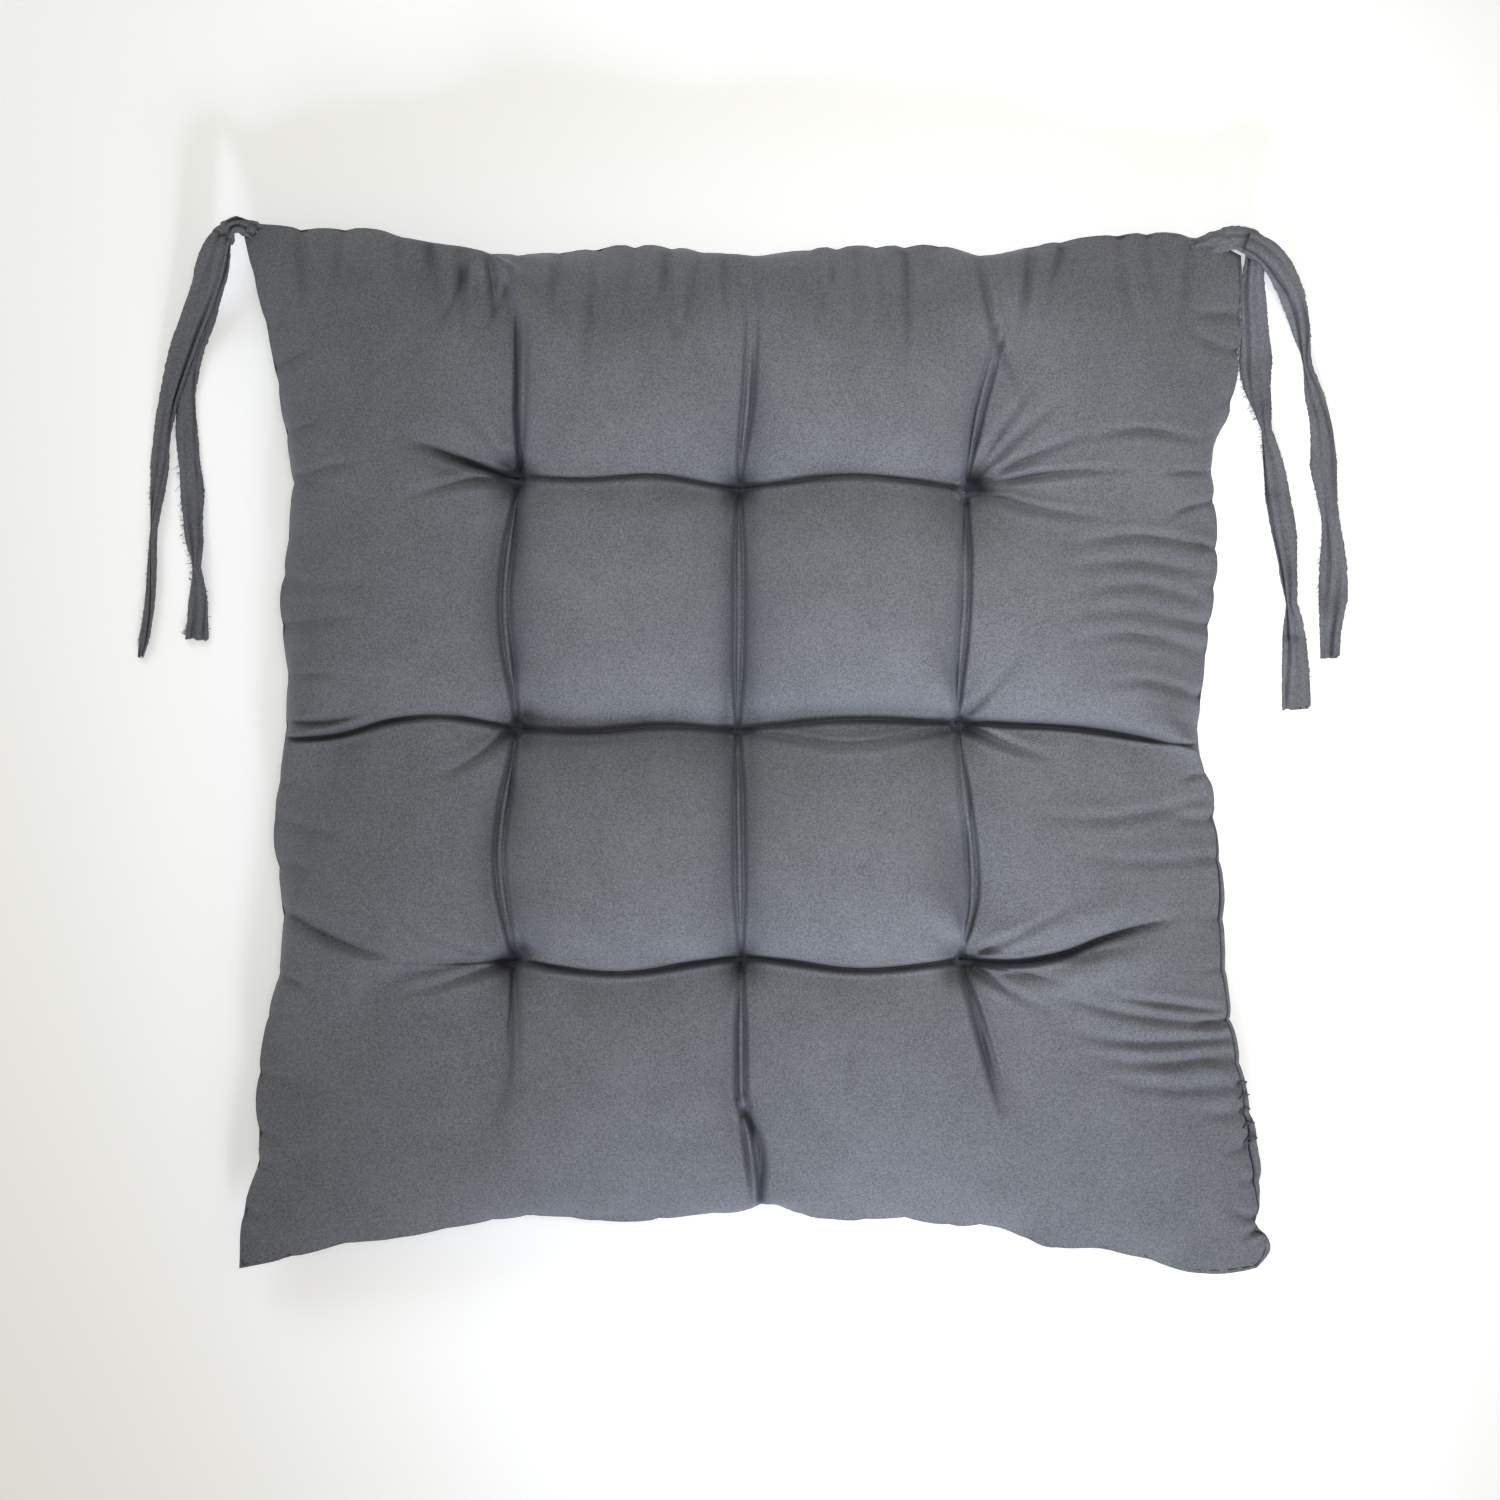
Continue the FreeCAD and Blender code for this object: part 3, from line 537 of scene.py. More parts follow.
def pucker_edges(panel):
    """Small gathers that run inward from the notches of the seam."""
    draw = np.random.default_rng(29)
    for side, (a, b, _) in enumerate(SIDES):
        reach, strength = PUCKERS[side]
        along = np.array(CORNERS[b]) - np.array(CORNERS[a])
        along /= np.hypot(*along)
        inward = np.array([-along[1], along[0]])
        for place, size in notches(side):
            lean = draw.uniform(-0.3, 0.3) * along
            length, depth = draw.uniform(9, 30) * size * reach, 1.5 * size * strength
            start = side_line(side, np.array([place]))[0] / MM
            middle, end = start + 0.5 * length * (inward + lean), start + length * (inward + lean * 1.6)
            points = [(*(start - inward), 0.6 * depth), (*middle, 0.8 * depth), (*end, 0)]
            press(panel, points, draw.uniform(1.2, 2.0))


RIM_ROWS = 9


def settle_rim(panel):
    """Puts the edge of a fine grid exactly on the outline, and eases the points near it."""
    front, right, back, left = edge_lines(crowded_shares())
    for line, axis, row, inward in ((front, 1, 0, 1), (back, 1, -1, -1), (left, 0, 0, 1), (right, 0, -1, -1)):
        turned = np.moveaxis(panel, axis, 0)
        move = line - turned[row, :, :2]
        for k in range(RIM_ROWS):
            turned[row + inward * k, :, :2] += move * (1 - k / RIM_ROWS) ** 2


PIT_DEPTH, PIT_WIDTH = 9, 7  # the tufts' pits, in millimetres
COLUMN_WIDTH, COLUMN_GAP = 0.85, 3.4  # the columns' folds are double ones
DOUBLE_DEPTH = 0.62  # share of the depth that each valley of a double fold has
ROW_WIDTH = 1.0
SMALL_DEPTH, SMALL_RIDGE = 1.5, 0.3


def press_folds(panel):
    """The top panel with all its folds."""
    rim = panel.copy()
    for fold in COLUMN_FOLDS:
        press(panel, [(x, y, DOUBLE_DEPTH * depth) for x, y, depth in fold], COLUMN_WIDTH, COLUMN_GAP)
    for fold in ROW_FOLDS:
        press(panel, fold, ROW_WIDTH)
    for row in TUFTS / MM:
        for x, y in row:
            around = np.hypot(panel[..., 0] / MM - x, panel[..., 1] / MM - y)
            panel[..., 2] -= PIT_DEPTH * np.exp(-((around / PIT_WIDTH) ** 1.3)) * MM
    for width, *points in SMALL_FOLDS:
        press(panel, [(x, y, SMALL_DEPTH * depth) for x, y, depth in points], width, ridge=SMALL_RIDGE)
    pucker_edges(panel)
    for ring in RINGS.values():
        edge = panel[ring]
        edge[:, 2] = rim[ring][:, 2]
        edge[1:-1:2] = 0.5 * (edge[:-2:2] + edge[2::2])  # straight between the lower panel's points
    return panel


# ---------------------------------------------------------------- meshes


def add_piece(name, mesh):
    """Smooth-shaded object of a mesh."""
    mesh.polygons.foreach_set("use_smooth", np.ones(len(mesh.polygons), dtype=bool))
    piece = bpy.data.objects.new(name, mesh)
    bpy.context.scene.collection.objects.link(piece)
    return piece


def grid_mesh(name, grid, flip=False):
    """Mesh object of one grid of points."""
    across, along = grid.shape[:2]
    index = np.arange(across * along).reshape(across, along)
    quads = np.stack([index[:-1, :-1], index[1:, :-1], index[1:, 1:], index[:-1, 1:]], -1).reshape(-1, 4)
    if flip:
        quads = quads[:, ::-1]
    mesh = bpy.data.meshes.new(name)
    mesh.vertices.add(across * along)
    mesh.vertices.foreach_set("co", grid.reshape(-1).astype(np.float32))
    mesh.loops.add(quads.size)
    mesh.loops.foreach_set("vertex_index", quads.reshape(-1).astype(np.int32))
    mesh.polygons.add(len(quads))
    mesh.polygons.foreach_set("loop_start", np.arange(0, quads.size, 4, dtype=np.int32))
    mesh.update(calc_edges=True)
    return add_piece(name, mesh)


def ring_mesh(name, rings, closed=False):
    """Mesh object of rings of points, joined one to the next; the ends are capped unless it closes."""
    count, around = rings.shape[:2]
    index = np.arange(count * around).reshape(count, around)
    following = np.roll(index, -1, axis=0) if closed else index[1:]
    first = index if closed else index[:-1]
    quads = np.stack(
        [first, following, np.roll(following, -1, axis=1), np.roll(first, -1, axis=1)], -1
    ).reshape(-1, 4)
    faces = [list(map(int, quad)) for quad in quads]
    if not closed:
        faces += [list(map(int, index[0])), list(map(int, index[-1][::-1]))]
    mesh = bpy.data.meshes.new(name)
    mesh.from_pydata(rings.reshape(-1, 3).tolist(), [], faces)
    return add_piece(name, mesh)


def frames_along(path, closed=False):
    """Tangent, level side and upward directions at each point of a path."""
    if closed:
        tangent = np.roll(path, -1, axis=0) - np.roll(path, 1, axis=0)
    else:
        tangent = np.gradient(path, axis=0)
    tangent /= np.linalg.norm(tangent, axis=1)[:, None]
    side = np.cross((0.0, 0.0, 1.0), tangent)
    length = np.linalg.norm(side, axis=1)[:, None]
    side = np.where(length > 1e-3, side / np.maximum(length, 1e-9), (1.0, 0.0, 0.0))
    return tangent, side, np.cross(tangent, side)


def tube(path, radius, around=6, closed=False):
    """Rings of points around a path."""
    path = np.asarray(path, float)
    _, side, up = frames_along(path, closed)
    turn = np.linspace(0, 2 * np.pi, around, endpoint=False)
    radius = np.broadcast_to(radius, (len(path),))[:, None, None]
    return path[:, None] + radius * (
        np.cos(turn)[None, :, None] * side[:, None] + np.sin(turn)[None, :, None] * up[:, None]
    )


def join(name, parts):
    """Joins pieces into one."""
    bpy.ops.object.select_all(action="DESELECT")
    for part in parts:
        part.select_set(True)
    bpy.context.view_layer.objects.active = parts[0]
    bpy.ops.object.join()
    parts[0].name = name
    parts[0].data.name = name
    return parts[0]


def finish_piece(piece, material, body, nodes=()):
    """Gives a piece its material and body, and hides the CAD nodes that it stands for."""
    piece.data.materials.clear()
    piece.data.materials.append(material)
    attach(piece, body)
    if nodes:
        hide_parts(*nodes)
    return piece


# ---------------------------------------------------------------- materials


def new_material(name):
    """A material, its shader, and its node tree."""
    material = bpy.data.materials.new(name)
    material.use_nodes = True
    return material, material.node_tree.nodes["Principled BSDF"], material.node_tree


def set_inputs(node, **values):
    """Sets inputs of a node by their names, with an underscore for each space."""
    for name, value in values.items():
        node.inputs[name.replace("_", " ")].default_value = value
    return node


def brushed_cloth(name, dark, light, grain=1.0, painted_fold_shade=0.0, fold_reach=14):
    """Brushed polyester: a fine nap, faint clouds, a soft bluish sheen, and painted shade that darkens the
    deep folds.
    """
    material, shader, tree = new_material(name)
    join_up = tree.links.new
    place = tree.nodes.new("ShaderNodeTexCoord")

    def noise(scale, detail, roughness=0.5):
        node = tree.nodes.new("ShaderNodeTexNoise")
        set_inputs(node, Scale=scale, Detail=detail, Roughness=roughness)
        join_up(place.outputs["Object"], node.inputs["Vector"])
        return node.outputs["Fac"]

    clouds, nap = noise(60, 3), noise(1350, 4, 0.75)
    mix = tree.nodes.new("ShaderNodeMix")
    mix.data_type = "FLOAT"
    mix.inputs["Factor"].default_value = 0.88
    join_up(clouds, mix.inputs["A"])
    join_up(nap, mix.inputs["B"])
    ramp = tree.nodes.new("ShaderNodeValToRGB")
    for stop, position, colour in zip(ramp.color_ramp.elements, (0.41, 0.59), (dark, light)):
        stop.position = position
        stop.color = (*colour, 1)
    join_up(mix.outputs["Result"], ramp.inputs["Fac"])
    colour = ramp.outputs["Color"]
    # Painted shade: where ambient occlusion finds folds and creases, the base colour is darkened, by up to
    # the given share.
    if painted_fold_shade:
        hidden = tree.nodes.new("ShaderNodeAmbientOcclusion")
        hidden.samples = 8
        set_inputs(hidden, Distance=fold_reach * MM)
        shade = tree.nodes.new("ShaderNodeMapRange")
        set_inputs(shade, From_Min=0.35, From_Max=0.94, To_Min=1 - painted_fold_shade, To_Max=1.0)
        join_up(hidden.outputs["AO"], shade.inputs["Value"])
        shaded_colour = tree.nodes.new("ShaderNodeVectorMath")
        shaded_colour.operation = "SCALE"
        join_up(colour, shaded_colour.inputs[0])
        join_up(shade.outputs["Result"], shaded_colour.inputs["Scale"])
        colour = shaded_colour.outputs["Vector"]
    join_up(colour, shader.inputs["Base Color"])
    bump = set_inputs(tree.nodes.new("ShaderNodeBump"), Strength=0.4 * grain, Distance=0.25 * MM)
    join_up(nap, bump.inputs["Height"])
    join_up(bump.outputs["Normal"], shader.inputs["Normal"])
    set_inputs(shader, Roughness=0.8, Specular_IOR_Level=0.3)
    set_inputs(shader, Sheen_Weight=0.22, Sheen_Roughness=0.5, Sheen_Tint=(0.7, 0.78, 1.0, 1))
    return material


def plain_floor_material():
    material, shader, _ = new_material("pale_floor")
    set_inputs(shader, Base_Color=(0.9, 0.9, 0.9, 1), Roughness=0.9)
    set_inputs(shader, Emission_Color=(1, 1, 1, 1), Emission_Strength=0.3)
    return material


# ---------------------------------------------------------------- wadding and threads


WADDING_GAP = 2 * MM
WADDING_THINNEST = 1 * MM
WADDING_MARGIN = 3  # rows of the filling's grid that are left out at the edge


def drawn_in(panel, outward, reach, every):
    """A coarser copy of a panel, inside all of its creases and a gap away from it."""
    height = panel[..., 2] * outward
    for axis in (0, 1):
        for _ in range(reach):
            beside = np.minimum(np.roll(height, 1, axis=axis), np.roll(height, -1, axis=axis))
            height = np.minimum(height, beside)
    inner = panel.copy()
    inner[..., 2] = height * outward
    inner = inner[::every, ::every]
    normal = np.cross(np.gradient(inner, axis=0), np.gradient(inner, axis=1)) * outward
    normal /= np.maximum(np.linalg.norm(normal, axis=-1), 1e-12)[..., None]
    inside = slice(WADDING_MARGIN, -WADDING_MARGIN)
    return (inner - WADDING_GAP * normal)[inside, inside]


def make_wadding(top_panel, bottom_panel):
    """The filling: the space between the covers, less a gap all round."""
    upper = drawn_in(top_panel, 1, reach=5, every=4)
    lower = drawn_in(bottom_panel, -1, reach=3, every=2)
    middle = 0.5 * (upper + lower)
    thin = upper[..., 2:] < lower[..., 2:] + WADDING_THINNEST
    step = np.array([0, 0, 0.4]) * MM
    upper, lower = np.where(thin, middle + step, upper), np.where(thin, middle - step, lower)
    sheets = [grid_mesh("filling_upper", upper), grid_mesh("filling_lower", lower, flip=True)]
    rims = [np.concatenate([g[:, 0], g[-1, 1:], g[-2::-1, -1], g[0, -2:0:-1]]) for g in (upper, lower)]
    band = np.stack(rims)
    wall = grid_mesh("filling_rim", np.concatenate([band, band[:, :1]], axis=1))
    return join("wadding_fill", [*sheets, wall])


THREAD_RADIUS = 0.4 * MM


def seam_thread(top_panel, bottom_panel):
    """The thread of the seam, sewn between the covers just inside their edge."""
    middle = 0.5 * (top_panel[::2, ::2] + bottom_panel)
    inside = middle[1:-1, 1:-1]
    walk = np.concatenate([inside[:-1, 0], inside[-1, :-1], inside[:0:-1, -1], inside[0, :0:-1]])
    walk[:, 2] += 0.25 * MM * np.sin(np.arange(len(walk)) * 2.1)
    return ring_mesh("seam_stitching", tube(walk, 0.3 * MM, closed=True), closed=True)


# The rolled lip of the seam, by places along Y, in millimetres: how far it stands off the right edge,
# and how thick it is.
LIP_OFFSETS = [(-184, 0), (-176, 0.6), (-166, 2.2), (-158, 2.8), (-150, 1.9), (-140, 1.1), (-128, 0.8),
               (-90, 0.8), (-50, 0.9), (-24, 0.2)]
LIP_RADII = [(-184, 0.3), (-176, 0.8), (-160, 1.1), (-142, 1.2), (-110, 1.0), (-60, 1.0), (-24, 0.3)]
LIP_WEB_DROP = 2.2 * MM  # how much lower the lip's inner side lies, between the roll and the pad
LIP_AROUND = 12


def seam_lip(top_panel):
    """The roll of the seam along the front half of the right side, where the cover was closed."""
    edge = top_panel[-1]
    edge = edge[(edge[:, 1] > LIP_OFFSETS[0][0] * MM) & (edge[:, 1] < LIP_OFFSETS[-1][0] * MM)]
    edge, _ = even_steps(edge, 1.2 * MM)
    wave = smooth_noise(61, (len(edge), 2), 18) * 0.35 * MM
    offset = by_place(LIP_OFFSETS, edge[:, 1]) * MM
    edge[:, 0] += offset + wave[:, 0]
    edge[:, 2] += wave[:, 1] - 0.9 * MM
    rings = tube(edge, by_place(LIP_RADII, edge[:, 1]) * MM, around=LIP_AROUND)
    inner = np.clip(np.cos(np.linspace(0, 2 * np.pi, LIP_AROUND, endpoint=False)), 0, 1)
    rings[..., 0] -= inner * (offset + 0.8 * MM)[:, None]
    rings[..., 2] -= inner * LIP_WEB_DROP
    return ring_mesh("seam_lip", rings)


def closing_stitches(top_panel, bottom_panel):
    """Slanted stitches over the edge, where the cover was closed after filling."""
    low, high = corners_of("closing_seam_thread")
    edge = top_panel[-1]
    at = [i for i in range(len(edge)) if low[1] <= edge[i, 1] <= high[1]]
    stitches = []
    for number, i in enumerate(range(at[0] + 1, at[-1] - 2, 3)):
        outward = np.array([0.9, 0, 0]) * MM
        rise = np.array([0, 0, 0.3]) * MM
        path = [
            top_panel[-4, i] - rise,
            top_panel[-3, i] + rise,
            top_panel[-2, i + 1] + rise + outward,
            edge[i + 1] + (by_place(LIP_OFFSETS, edge[i + 1, 1]) + 1.4) * np.array([MM, 0, 0]),
            bottom_panel[-2, (i + 1) // 2] - rise + outward,
            bottom_panel[-3, (i + 2) // 2] + rise,
        ]
        stitches.append(ring_mesh(f"stitch_{number}", tube(curve_through(path, 5), 0.32 * MM)))
    return join("closing_stitches", stitches)


KNOT_TURNS, KNOT_RADIUS = 3, 1.1


def tuft_thread(name, top, foot):
    """A tuft's thread: a small bar in the pit, two strands through the pad and a knot below."""
    out = np.array([1.3, 0, 0]) * MM
    lift = np.array([0, 0, 0.45]) * MM
    bar = [foot - 0.4 * out, top - out - 3 * lift, top - out, top + lift,
           top + out, top + out - 3 * lift, foot + 0.4 * out]
    turn = np.linspace(0, 2 * KNOT_TURNS * np.pi, 46)
    coil = np.stack([KNOT_RADIUS * np.cos(turn), KNOT_RADIUS * np.sin(turn), -0.25 - 0.12 * turn], -1)
    coil = coil * MM + foot
    strands = ring_mesh(name + "_strands", tube(curve_through(bar, 5), THREAD_RADIUS))
    knot = ring_mesh(name + "_knot", tube(coil, 0.5 * MM))
    return join(name, [strands, knot])


# ---------------------------------------------------------------- ties

# Routes of the straps' middles, in millimetres, from the sewn corner to the free end.
ROUTES = {
    "left_outer": [
        (-204.2, 200, 15), (-206.2, 196, 20.6), (-208.4, 188.3, 18), (-212.7, 177.5, 11.4),
        (-218.6, 163.9, 5.2), (-224.2, 150.4, 3.2), (-228.6, 136, 2.2), (-231.2, 121.3, 1),
        (-232.6, 101.9, 0.8), (-234.4, 82.5, 0.8), (-235.2, 65.1, 0.8), (-236.4, 49.6, 0.8),
        (-239.5, 34.1, 0.8),
    ],
    "left_inner": [
        (-205, 199, 14), (-208.1, 188.3, 14.2), (-212.7, 177.5, 8.4), (-217.6, 163.9, 2.4),
        (-220.8, 150.4, 0.8), (-221.8, 136, 0.8), (-221.2, 121.3, 0.8), (-220, 103.9, 0.8), (-218.6, 84, 0.8),
        (-217, 69, 0.8), (-216.8, 53.5, 0.8), (-217.8, 41.1, 0.8),
    ],
    "right_inner": [
        (197, 192, 17), (195.3, 181.4, 13.8), (196.1, 169.7, 8), (197.2, 156.2, 2.4),
        (198.8, 142.6, 0.8), (201.9, 128.3, 0.8), (205.4, 111.6, 0.8), (207.7, 94.2, 0.8),
        (210.6, 77, 0.8), (212.3, 61, 0.8), (213.9, 45.3, 0.8), (214.7, 29.1, 0.8), (215.5, 13.6, 0.8),
    ],
    "left_root": [
        (-189, 197.5, 15.4), (-195.5, 201.2, 16.3), (-201, 202.4, 18.8), (-204.6, 199.4, 18.6),
        (-206.2, 195.6, 16.4),
    ],
    "right_root": [
        (172, 191.6, 17.8), (181, 195, 18), (189, 197.2, 18.9), (196.5, 194.8, 20), (202, 190.2, 17),
    ],
    "right_outer": [
        (193.6, 194.6, 21.4), (199.4, 192.6, 23), (205.2, 186.6, 20), (211, 176.8, 13), (215, 166.2, 6.6),
        (217.8, 155.5, 2.2), (220.1, 144.5, 0.8), (224, 129, 0.8), (226.3, 111.6, 0.8),
        (227.9, 90.3, 0.8), (229.4, 72.5, 0.8), (229.4, 56.2, 0.8), (228.2, 43.8, 0.8), (227.9, 33.7, 0.8),
    ],
}
# Half widths in millimetres, each at a place along the frame's Y.
HALF_WIDTHS = {
    "left_outer": [
        (34, 0.9), (40, 2.2), (60, 2.1), (84, 1.8), (96, 2.9), (110, 3.8), (123, 3.6), (135, 3.2), (142, 3.8),
        (150, 4.6), (158, 5.4), (170, 5.9), (184, 5.7), (192, 4.8), (197, 3.8), (200, 2.6),
    ],
    "left_inner": [
        (41, 4.6), (55, 4.2), (69, 2.3), (83, 3.9), (96, 4.8), (123, 4.1), (140, 3.8), (170, 3.6), (190, 3.0),
        (199, 2.2),
    ],
    "left_root": [(194, 3.8), (198, 4.4), (200.5, 3.6), (203, 2.6)],
    "right_inner": [
        (13, 5.4), (28, 5.2), (41, 4.6), (55, 2.8), (69, 3.6), (84, 5), (97, 5), (110, 4.1), (123, 2.6),
        (138, 4.4), (150, 5.8), (175, 5.6), (192, 3.4),
    ],
    "right_outer": [
        (33, 3.8), (42, 4.1), (55, 5.2), (69, 5.0), (84, 3.8), (96, 3.6), (110, 5.0), (123, 4.8), (137, 4),
        (146, 2.5), (153, 2.1), (162, 3.8), (175, 5.2), (186, 5.8), (191, 5.6), (195, 4.6),
    ],
    "right_root": [(190, 3.6), (193, 4.6), (197.4, 5.0)],
}
# How far each strap is rolled about its own middle, in degrees, at places along Y.
ROLLS = {
    "left_outer": [(34, 25), (60, 40), (84, 55), (100, 10), (140, -12), (175, -18), (199, 0)],
    "left_inner": [(41, -8), (58, 10), (69, 60), (80, 15), (110, -10), (150, 8), (180, 14), (199, 0)],
    "right_inner": [
        (13, 8), (40, -12), (55, 60), (68, 12), (95, -8), (112, 20), (123, 62), (134, 18), (160, -10),
        (192, 0),
    ],
    "right_outer": [
        (33, 5), (50, -14), (66, 10), (90, 42), (104, 6), (128, -12), (140, 16), (149, 66), (158, 20),
        (176, -12), (192, 0),
    ],
    "left_root": [(196, 0), (204, -10)],
    "right_root": [(190, 0), (200, 0)],
}
# Lengthwise folds of each strap: place across from -1 to 1, depth in millimetres, width across.
PLEATS = {
    "left_outer": [(-0.2, 0.8, 0.24), (0.55, 1.2, 0.11)],
    "left_inner": [(-0.25, 1.2, 0.22), (0.6, 0.8, 0.1)],
    "left_root": [(-0.5, 0.9, 0.2), (0.2, 1.0, 0.2)],
    "right_inner": [(-0.68, 1.1, 0.12), (0.1, 0.8, 0.25)],
    "right_outer": [(-0.35, 1.0, 0.16), (0.5, 1.1, 0.2)],
    "right_root": [(-0.35, 0.7, 0.2), (0.45, 0.6, 0.16)],
}
# How far each strap lies to the side of its route, in millimetres, at places along Y.
SWAYS = {
    "left_outer": [(140, 0), (158, -0.6), (186, -0.6), (199, 0)],
    "left_inner": [(136, 0), (150, 0.8), (164, 2.4), (185, 2.8), (199, 0.4)],
    "right_inner": [(140, 0), (153, 1.2), (170, 1.2), (182, 0.6), (192, 0)],
}
STRAP_STEP = 0.9 * MM
STITCH_PITCH = 3.6 * MM
HALF_THICKNESS = 0.75 * MM
CROWN, EDGE_THINNING = 2.3, 1.7  # height of a strap's middle and loss at its edges, in half thicknesses
PLEAT_DEPTH = 1.3
CRINKLE, DIMPLE = 0.16 * MM, 0.4 * MM
STITCH_LINE = 0.12  # where the stitches' dimples lie across a strap, and how wide they are
TIP_ROWS = 6  # rows of a strap's mesh that its jagged cut end is spread over
ACROSS = np.linspace(-1, 1, 23)


def spline_through(route):
    """Points along a smooth spline that follows a route."""
    curve = bpy.data.curves.new("route", "CURVE")
    curve.dimensions = "3D"
    spline = curve.splines.new("NURBS")
    spline.points.add(len(route) - 1)
    for point, (x, y, z) in zip(spline.points, route):
        point.co = (x * MM, y * MM, z * MM, 1)
    spline.order_u = 3
    spline.use_endpoint_u = True
    spline.resolution_u = 10
    holder = bpy.data.objects.new("route", curve)
    bpy.context.scene.collection.objects.link(holder)
    mesh = bpy.data.meshes.new_from_object(holder.evaluated_get(bpy.context.evaluated_depsgraph_get()))
    path = [tuple(vertex.co) for vertex in mesh.vertices]
    bpy.data.objects.remove(holder)
    bpy.data.curves.remove(curve)
    bpy.data.meshes.remove(mesh)
    return path


def even_steps(path, step):
    """The same line with its points evenly spaced."""
    path = np.array(path)
    run = np.concatenate([[0], np.cumsum(np.linalg.norm(np.diff(path, axis=0), axis=1))])
    at = np.linspace(0, run[-1], max(2, round(run[-1] / step)) + 1)
    return np.stack([np.interp(at, run, path[:, k]) for k in range(3)], -1), at


def by_place(table, y):
    return np.interp(y / MM, [place for place, _ in table], [value for _, value in table])


def strap(name, seed):
    """One strap of folded cloth along its route. Gives the piece, its route and its edges."""
    path = spline_through(ROUTES[name])
    middle, run = even_steps(path, STRAP_STEP)
    tangent, side, up = frames_along(middle)
    if name in SWAYS:
        middle = middle + by_place(SWAYS[name], middle[:, 1])[:, None] * MM * side
    half = by_place(HALF_WIDTHS[name], middle[:, 1]) * MM
    roll = np.radians(by_place(ROLLS[name], middle[:, 1]))
    side, up = (
        side * np.cos(roll)[:, None] + up * np.sin(roll)[:, None],
        up * np.cos(roll)[:, None] - side * np.sin(roll)[:, None],
    )
    lift = np.abs(np.sin(roll)) * half * 0.9
    crinkle = smooth_noise(seed, (len(run), len(ACROSS)), 40) * CRINKLE
    wander = smooth_noise(seed + 1, (len(run), 2), 9)[:, 0] * 0.3
    grooves = np.zeros((len(run), len(ACROSS)))
    for number, (place, depth, width) in enumerate(PLEATS[name]):
        off = (ACROSS[None, :] - place - wander[:, None]) / width
        fade = np.clip(0.65 + 0.6 * smooth_noise(seed + 7 + number, (len(run), 2), 8)[:, 0], 0.1, 1.2)
        grooves += depth * MM * np.exp(-(off**2)) * fade[:, None]
    dimples = DIMPLE * np.exp(-(((ACROSS[None, :] - STITCH_LINE) / STITCH_LINE) ** 2))
    dimples = dimples * np.clip(np.sin(run * 2 * np.pi / STITCH_PITCH), 0, 1)[:, None] ** 2
    height = HALF_THICKNESS * (CROWN - EDGE_THINNING * np.abs(ACROSS) ** 3)[None, :]
    height = height - PLEAT_DEPTH * grooves - dimples + crinkle
    height = np.maximum(height, -0.3 * HALF_THICKNESS)
    ragged = np.random.default_rng(seed + 2).normal(0, 0.12 * MM, (len(run), 2))
    ragged += half[:, None] * 0.2 * smooth_noise(seed + 4, (len(run), 2), 14)
    width = half[:, None] * ACROSS[None, :]
    width[:, 0] -= ragged[:, 0]
    width[:, -1] += ragged[:, 1]
    centre = middle.copy()
    centre[:, 2] += lift
    upper = centre[:, None] + width[..., None] * side[:, None] + height[..., None] * up[:, None]
    lower = centre[:, None] + (width * 0.97)[:, ::-2, None] * side[:, None]
    lower = lower - (HALF_THICKNESS * 0.85 + 0.35 * crinkle[:, ::-2])[..., None] * up[:, None]
    rings = np.concatenate([upper, lower], axis=1)
    rings[..., 2] = np.maximum(rings[..., 2], 0.08 * MM)
    tip = np.linspace(1, 0, TIP_ROWS)[::-1, None] ** 2 * cut_shape(name, rings.shape[1])[None, :] * MM
    rings[-TIP_ROWS:] += tip[..., None] * tangent[-TIP_ROWS:, None]
    return ring_mesh(name + "_strap", rings), path, upper[:, 0], upper[:, -1]


def cut_shape(name, count):
    """How far the cut end reaches past its last place, around the strap's section, in millimetres."""
    draw = np.random.default_rng(len(name) + ord(name[-1]))
    jagged = draw.uniform(-1.0, 1.0, count)
    upper = len(ACROSS)
    jagged[upper:] = np.interp(np.linspace(1, 0, count - upper), np.linspace(0, 1, upper), jagged[:upper])
    return jagged * 0.8


TACKS = {"left": ((0.2, 0.36), 1.1), "right": ((0.3, 0.46), -1.1)}  # shares of the root, height over it
TACK_RADIUS = 0.22 * MM
TACK_POINTS = 15


def bartack(name, left_edge, right_edge, shares, height):
    """A dense zigzag of thread across a strap's root."""
    path = []
    for number, i in enumerate(np.linspace(*shares, TACK_POINTS) * (len(left_edge) - 1)):
        across = (0.22, 0.78)[number % 2]
        left, right = (cubic_at(edge, np.array([i]))[0] for edge in (left_edge, right_edge))
        path.append(left * (1 - across) + right * across + np.array([0, 0, height]) * MM)
    return ring_mesh(name, tube(curve_through(path, 4), TACK_RADIUS))


YARN_RADIUS = 0.11 * MM


def whiskers(name, edge, outward, places, count, length, seed):
    """Loose threads along a raw edge."""
    draw = np.random.default_rng(seed)
    threads = []
    inside = [i for i in range(2, len(edge) - 2) if places[0] <= edge[i, 1] / MM <= places[1]]
    for number in range(count):
        i = int(draw.choice(inside))
        lean = np.array([draw.uniform(0.3, 1) * outward, draw.uniform(-1, 0.5), draw.uniform(-0.1, 0.3)])
        bend = np.array([draw.uniform(-0.4, 0.8) * outward, draw.uniform(-0.8, 0.8), draw.uniform(-0.3, 0.2)])
        reach = draw.uniform(0.4, 1) * length * MM
        root, end = edge[i] - 0.4 * reach * lean, edge[i] + reach * (lean + 0.5 * bend)
        path = curve_through([root, edge[i], edge[i] + 0.6 * reach * lean, end], 3)
        path[:, 2] = np.maximum(path[:, 2], 0.2 * MM)
        threads.append(ring_mesh(f"{name}_{number}", tube(path, YARN_RADIUS, around=4)))
    return join(name, threads)


